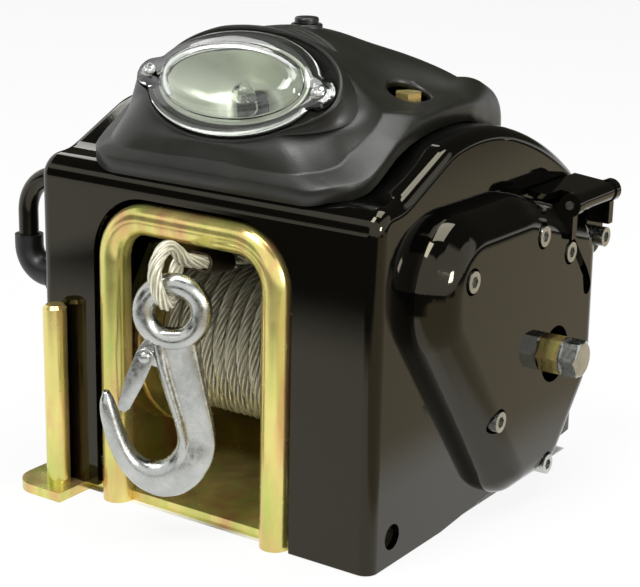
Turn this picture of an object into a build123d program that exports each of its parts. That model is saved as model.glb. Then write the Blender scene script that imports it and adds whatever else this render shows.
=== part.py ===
"""Electric trailer winch, as an assembly of its separate pieces.

Millimetres, +X to the gear side, +Y to the rear, +Z up. The origin is the centre of the
four mounting holes, on the underside of the base plate.
"""
import math
import os

from build123d import *

os.makedirs("parts", exist_ok=True)

# Fits and gaps that several pieces share
RUNNING = 0.05
SEAT_GAP = 0.05
SCREW_PLAY = 0.3
MOVING_GAP = 0.3

# Base frame, one folded sheet
BASE_T = 4.5
BASE_FRONT = -83.0
BASE_REAR = 83.0
PLATE_T = 4.0
LEFT_PLATE = -70.0
RIGHT_PLATE = 60.0
PLATE_FRONT = -62.0
LEFT_PLATE_TOP = 112.0
RIGHT_PLATE_TOP = 158.0
MOUNT_X = 90.0
MOUNT_Y = 116.0
MOUNT_HOLE_R = 5.25
REAR_TAB_X = 35.0
REAR_TAB_W = 20.0
REAR_TAB_TOP = 34.0
REAR_SCREW_Z = 24.0

# Foot tab and the post that stands on it
TAB_LEFT = -101.0
TAB_RIGHT = -70.0
TAB_FRONT = -106.5
TAB_ROUND = 13.0
POST_X = -80.7
POST_Y = -95.0
POST_R = 5.55
POST_TOP = 92.0
POST_SPIGOT_R = 4.0

# Rope guard, a bent rod
ROD_R = 7.15
GUARD_LEFT = -52.4
GUARD_RIGHT = 38.3
GUARD_Y = -84.8
GUARD_TOP = 137.4
GUARD_BEND = 20.0

# Housing shell
HOUSING_LEFT = -95.0
HOUSING_RIGHT = 90.0
HOUSING_W = HOUSING_RIGHT - HOUSING_LEFT
HOUSING_FRONT = -88.5
HOUSING_REAR = 103.0
HOUSING_BOTTOM = 0.5
HOUSING_REAR_BOTTOM = 12.0
SHELF_Z = 159.0
SHELF_END = -70.0
SHELF_RISE = 1.5
SHELF_R = 11.0
BEND_R = 25.0
CREST_R = 40.0
ARCH_TOP = 181.3
ARCH_FRONT = (-33.0, ARCH_TOP - 3.3)
ARCH_CREST = (-5.0, ARCH_TOP)
ARCH_BACK = (22.0, ARCH_TOP - 3.3)
ARCH_FALL = (50.0, ARCH_TOP - 12.7)
ARCH_END = (92.0, ARCH_TOP - 36.3)
REAR_TOP = ARCH_TOP - 69.0
FRONT_FOOT = -29.0
WALL = 3.0
EDGE_R = 6.0
WINDOW_GAP = 2.5
TOP_OPENING_X = 50.0
TOP_OPENING_FRONT = -62.0
TOP_OPENING_REAR = 20.0
SIDE_HOLE = (-71.0, 13.5)
SIDE_HOLE_R = 5.8

# Winding drum
DRUM_AXIS = (-11.0, 67.5)
DRUM_LEFT = -58.5
DRUM_RIGHT = 44.0
FLANGE_T = 3.0
FLANGE_R = 51.0
DRUM_HUB_R = 20.0
DRUM_SHAFT_R = 9.5
BUSH_WALL = 3.0
BUSH_FLANGE_T = 2.0
RING_T = 1.5

# Wire rope
ROPE_R = 3.15
ROPE_PITCH = 6.85
LOWER_LAYER_R = 37.0
UPPER_LAYER_R = LOWER_LAYER_R + ROPE_PITCH
LOWER_TURNS = 13.25
UPPER_TURNS = 3.0
CROSSING = 5.0
ROPE_START_ANGLE = 240.0
ROPE_LANE = 7.5
ROPE_WRAP = 60.0
CORE_GAP = 0.35

# Gear train: drum gear, clutch shaft, idler, motor
PRESSURE_ANGLE = 25.0
ADDENDUM = 0.8
DEDENDUM = 1.1
BACKLASH = 0.16
DRUM_MODULE = 1.75
DRUM_TEETH = 46
CLUTCH_PINION_TEETH = 12
CLUTCH_MODULE = 1.25
CLUTCH_TEETH = 60
IDLER_PINION_TEETH = 12
MOTOR_MODULE = 1.0
IDLER_TEETH = 50
MOTOR_PINION_TEETH = 10
CLUTCH_ANGLE = 4.0
IDLER_ANGLE = 60.0
MOTOR_ANGLE = 135.0
FIRST_GEAR_GAP = 2.5
FIRST_GEAR_W = 9.5
LAYER_GAP = 7.0
SECOND_GEAR_W = 7.0
FIRST_LEFT = RIGHT_PLATE + FIRST_GEAR_GAP
FIRST_LAYER = (FIRST_LEFT, FIRST_LEFT + FIRST_GEAR_W)
SECOND_LEFT = FIRST_LAYER[1] + LAYER_GAP
SECOND_LAYER = (SECOND_LEFT, SECOND_LEFT + SECOND_GEAR_W)
DRUM_GEAR_HUB_R = 16.0
KEY_SIZE = 5.0

# Clutch stack on the intermediate shaft
CLUTCH_SHAFT_R = 7.0
CLUTCH_JOURNAL_R = 6.0
CLUTCH_BUSH_LENGTH = 11.0
CLUTCH_BUSH_LEFT = RIGHT_PLATE - CLUTCH_BUSH_LENGTH
LINING_R = 24.0
LINING_T = 1.5
PRESSURE_PLATE_T = 2.0
SPRING_T = 2.6
CLUTCH_HEX = 16.0
CLUTCH_NUT_PROUD = 5.5
CLUTCH_THREAD_R = 5.0
CRANK_HEAD_T = 8.0
CRANK_WASHER_T = 1.0
CRANK_SHANK_R = 3.5
CRANK_SHANK_LENGTH = 17.5
SHOULDER_T = 1.5
PRESSURE_LEFT = SECOND_LAYER[1] + LINING_T
SPRING_END = PRESSURE_LEFT + PRESSURE_PLATE_T + SPRING_T
SPRING_WIDTH = 9.0

# Idler
IDLER_PIN_R = 4.0
IDLER_HUB_R = 8.5

# Motor
MOTOR_R = 28.0
MOTOR_WALL = 2.5
MOTOR_END = -50.0
BELL_END = -62.0
DRIVE_END_T = 4.0
PILOT_R = 10.0
ARMATURE_R = 19.0
ARMATURE_HALF = 36.0
COMMUTATOR_R = 9.0
MOTOR_SHAFT_R = 4.0
MOTOR_PINION_BORE = 2.9
MOTOR_SCREW_PCD = 20.0
MOTOR_SCREW_R = 2.5
MAGNET_GAP = 14.0
BRUSH_HALF = 3.5
ARMATURE_SLOTS = 12

# Gear cover on the right wall
COVER_DEPTH = 18.0
COVER_FACE = HOUSING_RIGHT + COVER_DEPTH
COVER_SIDE = 7.0
COVER_SLOPE = 11.0
COVER_ROUND = 12.0
COVER_WALL = 3.0
COVER_CORNERS = [(-66, 152), (12, 151), (88, 128.5), (90, 50), (51, 6.5), (6.3, 6.5), (-66, 101.5)]
COVER_RADII = [34.0, 40.0, 22.0, 34.0, 24.0, 22.0, 32.0]
COVER_SCREWS = [(-42.0, 124.0), (22.0, 131.0), (50.0, 118.0), (86.5, 118.0), (-12.0, 52.5), (38.0, 16.5)]
COVER_EAR_TOP = (86.5, 130.0)
COVER_HOLE_R = 13.5
CLUTCH_ROOM = 3.0
IDLER_ROOM = 3.5
CLUTCH_NUT_END = COVER_FACE + CLUTCH_NUT_PROUD
CRANK_SHANK_END = CLUTCH_NUT_END - CRANK_SHANK_LENGTH
SCREW_R = 3.175
SCREW_HEAD_R = 4.75
SCREW_HEAD_T = 6.35
COUNTERBORE_R = 6.0
SCREW_SEAT = 12.5
SEAT_X = HOUSING_RIGHT + SCREW_SEAT
CLINCH_NUT_R = 6.0
CLINCH_NUT_T = 4.5

# Clutch release lever over the gear cover
LEVER_OUT = 0.5
LEVER_X = COVER_FACE + LEVER_OUT
LEVER_Z = 141.0
LEVER_FRONT = 50.0
LEVER_REAR = 84.0
LEVER_BARREL_R = 4.8
LEVER_PIN_R = 2.0
LEVER_LUG_T = 4.5
LEVER_INNER_GAP = 1.5
LEVER_INNER_X = HOUSING_RIGHT + LEVER_INNER_GAP
LEVER_INNER_Z = 147.5
LEVER_PLATE_T = 2.6
LUG_FRONT = LEVER_FRONT - MOVING_GAP
LUG_REAR = LEVER_REAR + MOVING_GAP
LEVER_LUGS = [(LUG_FRONT - LEVER_LUG_T, LUG_FRONT), (LUG_REAR, LUG_REAR + LEVER_LUG_T)]
LEVER_TIP = 36.0
LUG_R = 5.5
LUG_FOOT = 16.0
GROOVE_TOP = (50.0, 124.0)
GROOVE_END = (66.0, 106.0)
GROOVE_W = 5.0
GROOVE_DEPTH = 2.0
SLOT_TOP = (67.0, 105.0)
SLOT_END = (70.5, 97.0)
SLOT_W = 8.0

# Top cover and lamp
LAMP_TILT = 40.0
LAMP_Y = -65.3
LAMP_Z = 198.1
LAMP_HALF_W = 44.5
LAMP_HALF_H = 26.0
LAMP_RIM_T = 2.4
LAMP_DOME_H = 6.5
LAMP_WALL = 1.8
LAMP_EAR = 45.4
LAMP_EAR_R = 6.8
LAMP_LEDGE = 6.5
LAMP_DOME_ROUND = 3.0
LENS_GAP = 0.4
POD_ROUND = 1.2
POD_HALF_W = 55.5
POD_HALF_H = 30.0
POD_SHIFT = 0.5
POD_RISE = 1.6
POD_DEPTH = 22.0
BROW_HALF_W = 57.5
BROW_SHIFT = 2.0
BROW_HALF_H = 31.5
BROW_T = 3.4
BROW_RISE = 3.8
BROW_ROUND = 1.5
BROW_LEAN = 20.0
REFLECTOR_DEPTH = 20.0
REFLECTOR_WALL = 1.4
BULB_R = 4.8
BULB_LENGTH = 14.0
SOCKET_DEPTH = 12.0
SOCKET_R = 7.5
GASKET_T = 1.0
LAMP_SCREW_R = 1.9
LAMP_SCREW_LENGTH = 10.0
LAMP_SCREW_HEAD_R = 3.6
LAMP_SCREW_HEAD_T = 2.4
TOP_WALL = 3.0
TOP_SCREW = (55.0, -12.0)
TOP_POCKET_R = 10.0
TOP_POCKET_FLOOR = 187.5
TOP_SCREW_HEX = 11.0
TOP_SCREW_HEAD_T = 6.0
TOP_CROWN = 219.5

# Lamp button
BUTTON_X = 2.8
BUTTON_Y = -16.0
BUTTON_HEAD_R = 5.5
BUTTON_STEM_R = 3.2
BUTTON_TRAVEL = 1.5
BUTTON_HEAD_T = 2.6
NECK_R = 4.6
NECK_RISE = -0.5
NECK_TOP = TOP_CROWN + NECK_RISE
SWITCH_DEPTH = 12.0
NECK_LENGTH = 7.5
SWITCH_TOP = NECK_TOP - NECK_LENGTH
SWITCH_HALF = 7.0

# Hook and latch, drawn in the hook's own plane
HOOK_TURN = 32.0
HOOK_EYE = (-0.7, -107.5, 107.2)
EYE_RING_R = 12.0
EYE_WIRE_R = 4.2
HOOK_T = 11.0
HOOK_ROUND = 3.0
HOOK_CORNER = 1.5
HOOK_NECK_RIGHT = (11.0, -11.0)
HOOK_NECK_LEFT = (-9.0, -11.0)
HOOK_BACK = (19.0, -58.0)
HOOK_BOTTOM = (-8.0, -86.0)
HOOK_TIP_OUT = (-32.0, -42.0)
HOOK_TIP_IN = (-25.5, -40.0)
HOOK_BOWL = (-9.5, -57.5)
HOOK_BOWL_R = 11.8
HOOK_BOWL_RISE = 12.0
HOOK_WAIST = (-7.0, -27.0)
LATCH_PIVOT = (-11.8, -20.8)
LATCH_END = (-20.8, -42.4)
LATCH_R = 3.5
LATCH_T = 7.6
LATCH_EAR_T = 4.0
LATCH_FORK_R = 5.4
LATCH_PIN_R = 1.6

# Loop of the rope round the eye, and the ferrule that closes it
HANG_ANGLE = 95.0
LOOP_TURN = 17.5
LOOP_R = 9.0
LOOP_RISE = 40.0
LOOP_FALL = 8.4
LEG_Z = 123.8
LEG_SHIFT = 1.8
LEG_GAP = 7.4
LEG_BEND = 10.0
LARGEST_BEND = 40.0
TAIL_LENGTH = 24.0
FERRULE_BACK = 13.2
FERRULE_LENGTH = 15.0
FERRULE_WALL = 1.2

# Supply lead on the left wall
LEAD_R = 4.75
LEAD_Y = -72.0
LEAD_TOP_Z = 145.0
LEAD_OUT_X = -117.8
BOOT_Z = 98.0
BOOT_R = 6.8
BOOT_FLANGE_R = 11.0
BOOT_RISE = 17.0
BOOT_BEND = 12.0
BOOT_FLANGE_T = 3.0
LEAD_BEND = 19.0
LEAD_INSIDE = 6.0
LEAD_INSIDE_X = HOUSING_LEFT + LEAD_INSIDE
GROMMET_R = 8.5
GROMMET_T = 3.0
GROMMET_NECK_R = 6.5



def polar(centre, radius, angle):
    """Point at a distance and an angle in degrees from a centre in the Y-Z plane."""
    turn = math.radians(angle)
    return (centre[0] + radius * math.cos(turn), centre[1] + radius * math.sin(turn))


def bearing(start, end):
    """Angle in degrees of the line from one axis to another in the Y-Z plane."""
    return math.degrees(math.atan2(end[1] - start[1], end[0] - start[0]))


CLUTCH_AXIS = polar(DRUM_AXIS, DRUM_MODULE * (DRUM_TEETH + CLUTCH_PINION_TEETH) / 2, CLUTCH_ANGLE)
IDLER_AXIS = polar(CLUTCH_AXIS, CLUTCH_MODULE * (CLUTCH_TEETH + IDLER_PINION_TEETH) / 2, IDLER_ANGLE)
MOTOR_AXIS = polar(IDLER_AXIS, MOTOR_MODULE * (IDLER_TEETH + MOTOR_PINION_TEETH) / 2, MOTOR_ANGLE)

LAMP_PLANE = Plane(
    origin=(0, LAMP_Y, LAMP_Z),
    x_dir=(1, 0, 0),
    z_dir=(0, -math.cos(math.radians(LAMP_TILT)), math.sin(math.radians(LAMP_TILT))),
)
HOOK_PLANE = Plane(
    origin=HOOK_EYE,
    x_dir=(math.cos(math.radians(HOOK_TURN)), math.sin(math.radians(HOOK_TURN)), 0),
    z_dir=(math.sin(math.radians(HOOK_TURN)), -math.cos(math.radians(HOOK_TURN)), 0),
)


def disc_x(radius, start, end, centre, mode=Mode.ADD):
    """Cylinder along X between two stations, in the part being built."""
    with Locations(((start + end) / 2, centre[0], centre[1])):
        Cylinder(radius, abs(end - start), rotation=(0, 90, 0), mode=mode)


def disc_z(radius, start, end, centre, mode=Mode.ADD):
    """Upright cylinder between two heights, in the part being built."""
    with Locations((centre[0], centre[1], (start + end) / 2)):
        Cylinder(radius, abs(end - start), mode=mode)


def disc_y(radius, start, end, centre, mode=Mode.ADD):
    """Cylinder along Y between two stations, centred at (x, z), in the part being built."""
    with Locations((centre[0], (start + end) / 2, centre[1])):
        Cylinder(radius, abs(end - start), rotation=(90, 0, 0), mode=mode)


def block(low, high, mode=Mode.ADD):
    """Box between two corners, in the part being built."""
    middle = [(a + b) / 2 for a, b in zip(low, high)]
    with Locations(tuple(middle)):
        Box(high[0] - low[0], high[1] - low[1], high[2] - low[2], mode=mode)


def hexagon_x(across_flats, start, end, centre, mode=Mode.ADD):
    """Hexagonal prism along X, in the part being built."""
    with BuildSketch(Plane.YZ.offset(start)) as outline:
        with Locations(centre):
            RegularPolygon(across_flats / 2, 6, major_radius=False)
    extrude(outline.sketch, amount=end - start, mode=mode)


def gear_x(teeth, module, start, end, centre, phase):
    """Stub-tooth involute gear along X with one tooth centred on the phase angle."""
    pitch_r = module * teeth / 2
    base_r = pitch_r * math.cos(math.radians(PRESSURE_ANGLE))
    root_r = pitch_r - DEDENDUM * module
    tip_r = pitch_r + ADDENDUM * module
    half_pitch = math.pi / (2 * teeth) - BACKLASH / (2 * pitch_r)

    def roll(radius):
        slope = math.acos(min(1.0, base_r / max(radius, base_r)))
        return math.tan(slope) - slope

    def half_tooth(radius):
        return math.degrees(half_pitch + roll(pitch_r) - roll(radius))

    with BuildSketch(Plane.YZ.offset(start)) as outline:
        with BuildLine():
            for tooth in range(teeth):
                middle = phase + tooth * 360 / teeth
                following = middle + 360 / teeth
                rise = [polar(centre, r, middle - half_tooth(r)) for r in (root_r, pitch_r, tip_r)]
                fall = [polar(centre, r, middle + half_tooth(r)) for r in (tip_r, pitch_r, root_r)]
                ThreePointArc(*rise)
                Line(rise[-1], fall[0])
                ThreePointArc(*fall)
                Line(fall[-1], polar(centre, root_r, following - half_tooth(root_r)))
        make_face()
    extrude(outline.sketch, amount=end - start)


def finish(part, name):
    """Label a finished piece and write it."""
    part.label = name
    export_step(part, f"parts/{name}.step")


# Base frame
with BuildPart() as base_frame:
    with BuildSketch(Plane.XY):
        with BuildLine():
            Polyline(
                (LEFT_PLATE, BASE_REAR),
                (LEFT_PLATE, BASE_FRONT + 20),
                (TAB_LEFT, BASE_FRONT + 8),
                (TAB_LEFT, TAB_FRONT),
                (TAB_RIGHT, TAB_FRONT),
                (TAB_RIGHT, BASE_FRONT),
                (RIGHT_PLATE, BASE_FRONT),
                (RIGHT_PLATE, BASE_REAR),
                close=True,
            )
        make_face()
        fillet(vertices().group_by(Axis.Y)[0].sort_by(Axis.X)[0], TAB_ROUND)
        for tab_x in (-REAR_TAB_X, REAR_TAB_X):
            with Locations((tab_x, (BASE_REAR + HOUSING_REAR - WALL - MOVING_GAP) / 2)):
                Rectangle(REAR_TAB_W, HOUSING_REAR - WALL - MOVING_GAP - BASE_REAR)
    extrude(amount=BASE_T)
    with BuildSketch(Plane.YZ.offset(LEFT_PLATE)):
        with BuildLine():
            Polyline(
                (PLATE_FRONT, 0),
                (PLATE_FRONT, DRUM_AXIS[1] + 12),
                (DRUM_AXIS[0] - 29, LEFT_PLATE_TOP),
                (DRUM_AXIS[0] + 31, LEFT_PLATE_TOP),
                (BASE_REAR - 5, 50),
                (BASE_REAR - 5, 0),
                close=True,
            )
        make_face()
    extrude(amount=PLATE_T)
    with BuildSketch(Plane.YZ.offset(RIGHT_PLATE - PLATE_T)):
        with BuildLine():
            Polyline(
                (PLATE_FRONT, 0),
                (PLATE_FRONT, DRUM_AXIS[1] + 17),
                (DRUM_AXIS[0] - 24, LEFT_PLATE_TOP),
                (MOTOR_AXIS[0] - 31, MOTOR_AXIS[1] - 6),
                (MOTOR_AXIS[0] - 23, RIGHT_PLATE_TOP),
                (MOTOR_AXIS[0] + 21, RIGHT_PLATE_TOP),
                (IDLER_AXIS[0] + 29, IDLER_AXIS[1] + 18),
                (IDLER_AXIS[0] + 29, CLUTCH_AXIS[1] - 11),
                (BASE_REAR - 3, 0),
                close=True,
            )
        make_face()
    extrude(amount=PLATE_T)
    for tab_x in (-REAR_TAB_X, REAR_TAB_X):
        tab_back = HOUSING_REAR - WALL - MOVING_GAP
        tab_left = tab_x - REAR_TAB_W / 2
        block((tab_left, tab_back - PLATE_T, 0), (tab_left + REAR_TAB_W, tab_back, REAR_TAB_TOP))
        disc_y(SCREW_R, tab_back - 2 * PLATE_T, tab_back + PLATE_T, (tab_x, REAR_SCREW_Z), Mode.SUBTRACT)
    # Holes for the bushes, pins and motor pilot
    bush_r = DRUM_SHAFT_R + BUSH_WALL + SEAT_GAP
    disc_x(bush_r, LEFT_PLATE - 1, RIGHT_PLATE + 1, DRUM_AXIS, Mode.SUBTRACT)
    disc_x(CLUTCH_JOURNAL_R + BUSH_WALL + SEAT_GAP, 0, RIGHT_PLATE + 1, CLUTCH_AXIS, Mode.SUBTRACT)
    disc_x(IDLER_PIN_R + SEAT_GAP, 0, RIGHT_PLATE + 1, IDLER_AXIS, Mode.SUBTRACT)
    disc_x(PILOT_R + SEAT_GAP, 0, RIGHT_PLATE + 1, MOTOR_AXIS, Mode.SUBTRACT)
    for side in (-90, 90):
        screw_at = polar(MOTOR_AXIS, MOTOR_SCREW_PCD, MOTOR_ANGLE + side)
        disc_x(MOTOR_SCREW_R + SCREW_PLAY, 0, RIGHT_PLATE + 1, screw_at, Mode.SUBTRACT)
    # Mounting holes, guard notches and the post's rivet hole
    with GridLocations(MOUNT_X, MOUNT_Y, 2, 2):
        Cylinder(MOUNT_HOLE_R, 4 * BASE_T, mode=Mode.SUBTRACT)
    for leg_x in (GUARD_LEFT, GUARD_RIGHT):
        disc_z(ROD_R + SEAT_GAP, -1, BASE_T + 1, (leg_x, GUARD_Y), Mode.SUBTRACT)
    disc_z(POST_SPIGOT_R + SEAT_GAP, -1, BASE_T + 1, (POST_X, POST_Y), Mode.SUBTRACT)
finish(base_frame.part, "base_frame")

# Post on the foot tab
with BuildPart() as hook_post:
    disc_z(POST_R, BASE_T, POST_TOP, (POST_X, POST_Y))
    chamfer(hook_post.edges().group_by(Axis.Z)[-1], 1.5)
    disc_z(POST_SPIGOT_R, 0, BASE_T, (POST_X, POST_Y))
finish(hook_post.part, "hook_post")

# Rope guard
with BuildPart() as guard_bar:
    with BuildLine() as guard_line:
        FilletPolyline(
            (GUARD_LEFT, GUARD_Y, 0),
            (GUARD_LEFT, GUARD_Y, GUARD_TOP),
            (GUARD_RIGHT, GUARD_Y, GUARD_TOP),
            (GUARD_RIGHT, GUARD_Y, 0),
            radius=GUARD_BEND,
        )
    with BuildSketch(Plane(origin=(GUARD_LEFT, GUARD_Y, 0), z_dir=(0, 0, 1))):
        Circle(ROD_R)
    sweep(path=guard_line.wires()[0])
finish(guard_bar.part, "guard_bar")

# Rod that ties the two side plates at the rear
TIE_AXIS = (70.5, 40.0)
TIE_R = 6.0
with BuildPart() as tie_rod:
    disc_x(TIE_R, LEFT_PLATE + PLATE_T, RIGHT_PLATE - PLATE_T, TIE_AXIS)
finish(tie_rod.part, "tie_rod")


def housing_outline(inset):
    """Side profile of the housing, drawn in from its outer face."""
    shelf_front = (HOUSING_FRONT, SHELF_Z)
    shelf_end = (SHELF_END, SHELF_Z + SHELF_RISE)
    rear_top = (HOUSING_REAR, REAR_TOP)
    foot = (FRONT_FOOT, HOUSING_BOTTOM)
    with BuildSketch(Plane.YZ.offset(HOUSING_LEFT + inset)) as outline:
        with BuildLine():
            Polyline(foot, (HOUSING_FRONT, HOUSING_BOTTOM), shelf_front, shelf_end, ARCH_FRONT)
            ThreePointArc(ARCH_FRONT, ARCH_CREST, ARCH_BACK)
            ThreePointArc(ARCH_BACK, ARCH_FALL, ARCH_END)
            Polyline(ARCH_END, rear_top, (HOUSING_REAR, HOUSING_REAR_BOTTOM), foot)
        make_face()
        rounds = [(*shelf_front, SHELF_R), (*shelf_end, BEND_R), (*ARCH_FRONT, CREST_R), (*ARCH_END, BEND_R)]
        for y, z, radius in rounds:
            corner = vertices().sort_by_distance((y, z))[0]
            fillet(corner, radius)
        if inset:
            offset(amount=-inset, kind=Kind.INTERSECTION)
    return outline.sketch


def cover_outline(station, inset):
    """Outline of the gear cover at a station along X, drawn in by an inset."""
    with BuildSketch(Plane.YZ.offset(station)) as outline:
        with BuildLine():
            Polyline(*COVER_CORNERS, close=True)
        make_face()
        for corner, radius in zip(COVER_CORNERS, COVER_RADII):
            fillet(vertices().sort_by_distance(corner)[0], radius)
        if inset:
            offset(amount=-inset)
    return outline.sketch


# Housing shell
with BuildPart() as housing:
    extrude(housing_outline(0), amount=HOUSING_W)
    rim = housing.faces().sort_by(Axis.X)[0].edges() + housing.faces().sort_by(Axis.X)[-1].edges()
    low = HOUSING_REAR_BOTTOM + 1
    fillet([edge for edge in rim if edge.bounding_box().max.Z > low], EDGE_R)
    extrude(housing_outline(WALL), amount=HOUSING_W - 2 * WALL, mode=Mode.SUBTRACT)
    inner_left = HOUSING_LEFT + WALL
    inner_right = HOUSING_RIGHT - WALL
    block(
        (inner_left, HOUSING_FRONT + WALL, HOUSING_BOTTOM - WALL),
        (inner_right, HOUSING_REAR - WALL, HOUSING_REAR_BOTTOM + 2 * WALL),
        Mode.SUBTRACT,
    )
    # Window in the front wall, a little larger than the guard
    with BuildSketch(Plane.XZ.offset(-HOUSING_FRONT + 1)):
        with BuildLine():
            FilletPolyline(
                (GUARD_LEFT - ROD_R - WINDOW_GAP, -5),
                (GUARD_LEFT - ROD_R - WINDOW_GAP, GUARD_TOP + ROD_R + WINDOW_GAP),
                (GUARD_RIGHT + ROD_R + WINDOW_GAP, GUARD_TOP + ROD_R + WINDOW_GAP),
                (GUARD_RIGHT + ROD_R + WINDOW_GAP, -5),
                radius=GUARD_BEND + ROD_R + WINDOW_GAP,
            )
            Line((GUARD_RIGHT + ROD_R + WINDOW_GAP, -5), (GUARD_LEFT - ROD_R - WINDOW_GAP, -5))
        make_face()
    extrude(amount=-WALL - 2, mode=Mode.SUBTRACT)
    # Opening under the gear cover for the clutch and the idler's pin, with holes for the cover's screws
    with BuildSketch(Plane.YZ.offset(inner_right - 1)):
        with Locations(CLUTCH_AXIS):
            Circle(LINING_R + CLUTCH_ROOM)
        with Locations(IDLER_AXIS):
            Circle(IDLER_PIN_R + IDLER_ROOM)
        make_hull()
    extrude(amount=WALL + 2, mode=Mode.SUBTRACT)
    for screw_at in COVER_SCREWS:
        disc_x(SCREW_R + SCREW_PLAY, inner_right - 1, HOUSING_RIGHT + 1, screw_at, Mode.SUBTRACT)
    disc_x(SIDE_HOLE_R, inner_right - 1, HOUSING_RIGHT + 1, SIDE_HOLE, Mode.SUBTRACT)
    # Opening under the top cover, with holes for its two screws
    block(
        (-TOP_OPENING_X, TOP_OPENING_FRONT, SHELF_Z - 15),
        (TOP_OPENING_X, TOP_OPENING_REAR, ARCH_TOP + 10),
        Mode.SUBTRACT,
    )
    for side in (-1, 1):
        disc_z(SCREW_R, SHELF_Z, ARCH_TOP + 5, (side * TOP_SCREW[0], TOP_SCREW[1]), Mode.SUBTRACT)
    # Notch over the foot tab, lead holes and rear screw holes
    tab_clear = BASE_T + MOVING_GAP
    block((TAB_LEFT - 5, TAB_FRONT, -5), (TAB_RIGHT + 12, BASE_FRONT + 22, tab_clear), Mode.SUBTRACT)
    for lead_z, hole_r in ((LEAD_TOP_Z, GROMMET_NECK_R), (BOOT_Z, BOOT_R)):
        disc_x(hole_r + SEAT_GAP, HOUSING_LEFT - 1, inner_left + 1, (LEAD_Y, lead_z), Mode.SUBTRACT)
    for tab_x in (-REAR_TAB_X, REAR_TAB_X):
        hole_at = (tab_x, REAR_SCREW_Z)
        disc_y(SCREW_R + SCREW_PLAY, HOUSING_REAR - WALL - 1, HOUSING_REAR + 1, hole_at, Mode.SUBTRACT)
finish(housing.part, "housing")

# Screws through the rear wall into the frame's tabs
with BuildPart() as housing_screws:
    for tab_x in (-REAR_TAB_X, REAR_TAB_X):
        screw_at = (tab_x, REAR_SCREW_Z)
        shank_end = HOUSING_REAR - WALL - MOVING_GAP - PLATE_T - 3
        disc_y(SCREW_R - SEAT_GAP, shank_end, HOUSING_REAR, screw_at)
        disc_y(SCREW_HEAD_R, HOUSING_REAR, HOUSING_REAR + 4, screw_at)
        with BuildSketch(Plane.XZ.offset(-HOUSING_REAR - 4)):
            with Locations(screw_at):
                RegularPolygon(2.4, 6, major_radius=False)
        extrude(amount=-2.2, mode=Mode.SUBTRACT)
finish(housing_screws.part, "housing_screws")

# Sections of the top cover from front to rear: station, half width, shoulder height, crown height, and the
# share of the rise that is reached at the flank
TOP_FLANK = 0.62
TOP_SECTIONS = [
    (-88.0, 66.0, 165.0, 168.5, 0.78),
    (-80.0, 71.0, 169.0, 181.0, 0.70),
    (-60.0, 73.0, 174.0, 199.0, 0.58),
    (-42.0, 73.5, 180.0, 215.0, 0.47),
    (-25.0, 73.5, 185.0, TOP_CROWN, 0.43),
    (0.0, 73.5, 187.0, 216.0, 0.47),
    (20.0, 73.0, 184.5, 208.0, 0.60),
    (36.0, 71.0, 179.0, 197.0, 0.74),
    (50.0, 69.0, 172.5, 187.0, 0.79),
    (60.0, 67.0, 168.0, 178.0, 0.79),
    (65.0, 64.5, 164.0, 169.5, 0.79),
]


def top_section(station, half, shoulder, crown, flank):
    """Arched cross-section of the top cover at one station along Y."""
    with BuildSketch(Plane.XZ.offset(-station)) as outline:
        with BuildLine():
            Line((half, shoulder), (half, SHELF_Z - 20))
            Line((half, SHELF_Z - 20), (-half, SHELF_Z - 20))
            Line((-half, SHELF_Z - 20), (-half, shoulder))
            rise = crown - shoulder
            Spline(
                (-half, shoulder),
                (-TOP_FLANK * half, shoulder + flank * rise),
                (0, crown),
                (TOP_FLANK * half, shoulder + flank * rise),
                (half, shoulder),
                tangents=((0.15, 1), (0.15, -1)),
            )
        make_face()
    return outline.sketch


def disc_lamp(radius, start, end, across, mode=Mode.ADD):
    """Cylinder along the lamp's normal, a distance across the lamp, in the part being built."""
    with BuildSketch(LAMP_PLANE.offset(start)) as outline:
        with Locations((across, 0)):
            Circle(radius)
    extrude(outline.sketch, amount=end - start, mode=mode)


def lamp_ellipse(half_w, half_h, level, shift=0.0, across=0.0):
    """Ellipse parallel to the lamp's face at a level along its normal."""
    with BuildSketch(LAMP_PLANE.offset(level)) as outline:
        with Locations((across, shift)):
            Ellipse(half_w, half_h)
    return outline.sketch


def pocket_circles():
    """The two round pockets of the hold-down screws, seen from above."""
    with BuildSketch(Plane.XY.offset(SHELF_Z)) as outline:
        with Locations((-TOP_SCREW[0], TOP_SCREW[1]), TOP_SCREW):
            Circle(TOP_POCKET_R + TOP_WALL)
    return outline.sketch


# Walls of the screw pockets, cut to the outer shape of the top cover
with BuildPart() as pocket_walls:
    loft([top_section(*each) for each in TOP_SECTIONS])
    extrude(pocket_circles(), amount=ARCH_TOP, mode=Mode.INTERSECT)

# Brow round the upper half of the lamp, rooted in the top cover
with BuildPart() as lamp_brow:
    brow_outside = lamp_ellipse(BROW_HALF_W, BROW_HALF_H, -POD_DEPTH, across=BROW_SHIFT)
    extrude(brow_outside, amount=POD_DEPTH + BROW_RISE)
    brow_inside = lamp_ellipse(BROW_HALF_W - BROW_T, BROW_HALF_H - BROW_T, -POD_DEPTH, across=BROW_SHIFT)
    extrude(brow_inside, amount=POD_DEPTH + BROW_RISE, mode=Mode.SUBTRACT)
    brow_face = lamp_brow.faces().sort_by(Axis(LAMP_PLANE.origin, LAMP_PLANE.z_dir))[-1]
    fillet(brow_face.edges(), BROW_ROUND)
    brow_up = LAMP_PLANE.y_dir.rotate(Axis(LAMP_PLANE.origin, LAMP_PLANE.z_dir), -BROW_LEAN)
    split(bisect_by=Plane(origin=LAMP_PLANE.origin, z_dir=brow_up), keep=Keep.TOP)

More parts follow.
